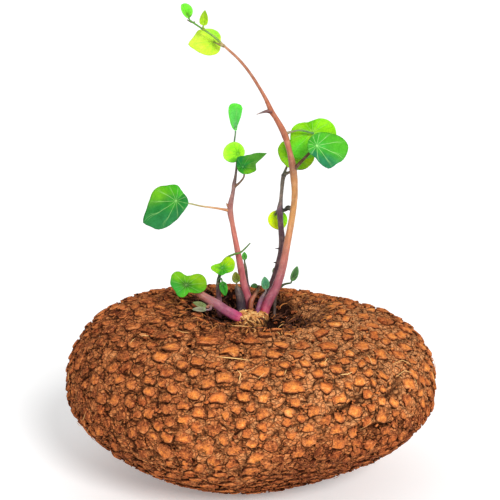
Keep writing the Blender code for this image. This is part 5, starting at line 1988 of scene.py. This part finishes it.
@dataclass
class ShootSet:
    """All shoots, each with its limbs sunk into each other and its skin coloured from foot to tip."""

    form: RootForm
    foliage: Foliage
    steps: int = 9
    sides: int = 20
    socket: float = 3.0
    end_radius: float = 0.4
    uneven: float = 0.05
    ribs: float = 5.0
    rib_height: float = 0.035
    rib_twist: float = 0.15
    collar: float = 0.5
    collar_length: float = 1.2
    streak_length: float = 9.0
    apart: float = 5.0

    def smooth_route(self, knots: list[tuple[float, ...]]) -> np.ndarray:
        """Draws a soft route through knots.

        Args:
            knots: Rows of x, y, z and radius.

        Returns:
            Finer rows of the same kind.
        """
        knots = np.array(knots, float)
        ends = np.vstack([knots[:1], knots, knots[-1:]])
        a, b, c, d = ends[:-3, None], ends[1:-2, None], ends[2:-1, None], ends[3:, None]
        t = (np.arange(self.steps) / self.steps)[None, :, None]
        curve = 0.5 * (2.0 * b + (c - a) * t + (2.0 * a - 5.0 * b + 4.0 * c - d) * t**2
                       + (3.0 * b - a - 3.0 * c + d) * t**3)
        return np.vstack([curve.reshape(-1, 4), knots[-1:]])

    @staticmethod
    def lengths(points: np.ndarray) -> np.ndarray:
        """Length of a line from its start to each of its points."""
        return np.concatenate([[0.0], np.cumsum(np.linalg.norm(np.diff(points, axis=0), axis=1))])

    def route(self, limb: Limb, start: tuple[float, ...] | None, blades: dict[str, Blade]) -> np.ndarray:
        """Draws the route of a limb, up to the blade that it carries.

        Args:
            limb: Its knots.
            start: A knot before these, if any.
            blades: The leaves by name.

        Returns:
            Rows of x, y, z and radius.
        """
        knots = [*([start] if start else []), *limb.knots]
        if limb.carries:
            short, clear = self.foliage.seat(blades[limb.carries])
            knots.append((*short, self.end_radius))
            return np.vstack([self.smooth_route(knots), [[*clear, self.end_radius]]])
        return self.smooth_route(knots)

    def tube(self, route: np.ndarray, number: int) -> tuple[bpy.types.Mesh, np.ndarray, np.ndarray]:
        """Builds the tube of one limb.

        Args:
            route: Rows of x, y, z and radius.
            number: 0 for the main limb, and 1 or more for a side limb, which widens at its start.

        Returns:
            The mesh, and for each vertex its length along the limb and its turn round it.
        """
        rings = len(route)
        mesh, corner = repeated(blank_tube(rings, self.sides), 1)
        ring = np.rint(corner[:, 2] * (rings - 1)).astype(int)
        turn = np.arctan2(corner[:, 1], corner[:, 0])
        length = self.lengths(route[:, :3])
        radii = route[:, 3] * (1.0 + self.uneven * cloud(route[:, :3] + 7.0 * number, 3.0, 2))
        if number:
            radii = radii * (1.0 + self.collar * np.exp(-length / self.collar_length))
        rib = 1.0 + self.rib_height * np.sin(self.ribs * turn + length[ring] * self.rib_twist)
        ribbed = np.column_stack([corner[:, :2] * rib[:, None], corner[:, 2]])
        write_points(mesh, swept(route[None, :, :3], radii[None], ribbed)[0] + np.array(self.foliage.crown))
        return mesh, length[ring], turn

    def build(self, shoot: Shoot, blades: dict[str, Blade], material: bpy.types.Material) -> bpy.types.Object:
        """Builds one shoot.

        Args:
            shoot: Its foot, limbs and skin.
            blades: The leaves by name, which end its stalks.
            material: The finish of its skin.

        Returns:
            The piece, which replaces its CAD node.
        """
        x, y, radius = shoot.foot
        crown = np.array(self.foliage.crown)
        depth = self.form.top_at(x + crown[0], y + crown[1]) - crown[2] - self.socket
        routes = [self.route(shoot.main, (x, y, depth, radius), blades)]
        routes += [self.route(side, None, blades) for side in shoot.sides]
        whole = bmesh.new()
        skins, arounds = [], []
        main = routes[0][:, :3]
        climbed = self.lengths(main)
        for number, (limb, route) in enumerate(zip((shoot.main, *shoot.sides), routes)):
            mesh, length, turn = self.tube(route, number)
            whole.from_mesh(mesh)
            bpy.data.meshes.remove(mesh)
            share = length / length.max()
            if limb.skin:
                skins.append(self.limb_skin(limb, share))
            elif number:
                foot = climbed[np.argmin(np.linalg.norm(main - route[0, :3], axis=1))] / climbed[-1]
                skins.append(self.skin(shoot.skin, foot + 0.9 * (1.0 - foot) * share**0.8))
            else:
                skins.append(self.skin(shoot.skin, share))
            along = length / self.streak_length + self.apart * number
            arounds.append(np.column_stack([np.cos(turn), np.sin(turn), along]))
        mesh = bpy.data.meshes.new(shoot.name)
        whole.to_mesh(mesh)
        whole.free()
        note(mesh, "skin", np.vstack(skins))
        note(mesh, "around", np.vstack(arounds))
        piece = finished(f"skin_{shoot.name}", mesh, material)
        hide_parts(shoot.name)
        return piece

    @staticmethod
    def skin(stops: Stops, share: np.ndarray) -> np.ndarray:
        """Colours skin between stops.

        Args:
            stops: Places from 0 to 1, each with its colour.
            share: Place of each vertex.

        Returns:
            One colour a vertex.
        """
        places = [place for place, _ in stops]
        colours = np.array([linear(colour) for _, colour in stops])
        return np.column_stack([np.interp(share, places, colours[:, channel]) for channel in range(4)])

    def limb_skin(self, limb: Limb, share: np.ndarray) -> np.ndarray:
        """Colours a side limb by its own skin, spread evenly from its start to its end."""
        last = len(limb.skin) - 1
        return self.skin(tuple((index / last, colour) for index, colour in enumerate(limb.skin)), share)


class StudioLight(Enum):
    """The soft lights of the studio: the way each shines, its strength and its softness in degrees."""

    KEY = ((-0.34, 0.80, -0.52), 2.7, 18.0)
    FILL = ((0.70, 0.60, -0.40), 0.2, 50.0)


@dataclass(frozen=True)
class Studio:
    """Pale floor, soft lights and the camera."""

    view: Camera = Camera()
    clip_start: float = 0.01
    floor_size: float = 100.0
    floor_drop: float = 0.0002
    floor_glow: float = 0.22
    world_strength: float = 0.60
    pale: tuple[float, ...] = (0.9, 0.9, 0.9, 1.0)
    white: tuple[float, ...] = (1.0, 1.0, 1.0, 1.0)

    def floor(self) -> None:
        """Lays a large plain floor just under the rest spot."""
        sheet = bmesh.new()
        bmesh.ops.create_grid(sheet, x_segments=4, y_segments=4, size=self.floor_size)
        bmesh.ops.translate(sheet, verts=sheet.verts, vec=(0.0, 0.0, -self.floor_drop))
        mesh = bpy.data.meshes.new("floor")
        sheet.to_mesh(mesh)
        sheet.free()
        finish = Finish("pale floor", 0.9, Specular_IOR_Level=0.1, Emission_Strength=self.floor_glow)
        finish.shader.inputs["Base Color"].default_value = self.pale
        finish.shader.inputs["Emission Color"].default_value = self.white
        mesh.materials.append(finish.material)
        linked("floor", mesh)

    def lights(self) -> None:
        """Sets up soft distant lights and a white world."""
        for light in StudioLight:
            way, strength, softness = light.value
            data = bpy.data.lights.new(light.name.lower(), "SUN")
            data.energy = strength
            data.angle = math.radians(softness)
            linked(light.name.lower(), data).rotation_euler = Vector(way).to_track_quat("-Z", "Y").to_euler()
        world = bpy.data.worlds.new("white studio")
        world.use_nodes = True
        background = world.node_tree.nodes["Background"]
        background.inputs["Color"].default_value = self.white
        background.inputs["Strength"].default_value = self.world_strength
        bpy.context.scene.world = world

    def camera(self) -> None:
        """Places the camera a little above the root, looking slightly down."""
        data = bpy.data.cameras.new("camera")
        data.lens = self.view.lens
        data.sensor_width = self.view.sensor
        data.clip_start = self.clip_start
        camera = linked("camera", data)
        camera.location = tuple(MM * value for value in self.view.at)
        camera.rotation_euler = (math.radians(90.0 - self.view.pitch), 0.0, 0.0)
        bpy.context.scene.camera = camera
        bpy.context.scene.view_settings.view_transform = "Standard"


def main() -> None:
    """Builds every piece in order."""
    logging.basicConfig(level=logging.INFO, format="%(name)s %(message)s")
    form = RootForm()
    sight = Sight(form)
    bark = Bark(form, sight)
    LOG.info("%d cells, %d bare", len(bark.sites), int(bark.bare.sum()))
    bark.ground()
    bark.scales()
    bark.scatter_bits(SCABS)
    bark.scatter_bits(CRUMBS)
    fibres = CrownFibres(form)
    fibres.shreds()
    fibres.splinters()
    fibres.straw()
    fibres.seen_straws(sight)
    foliage = Foliage()
    blades = {blade.name: blade for blade in BLADES}
    shoots = ShootSet(form, foliage)
    skin = StemFinish().make()
    for shoot in SHOOTS:
        shoots.build(shoot, blades, skin)
    leaf = LeafFinish().make()
    for blade in BLADES:
        foliage.build(blade, leaf)
    studio = Studio()
    studio.floor()
    studio.lights()
    studio.camera()
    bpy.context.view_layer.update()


if __name__ == "__main__":
    main()
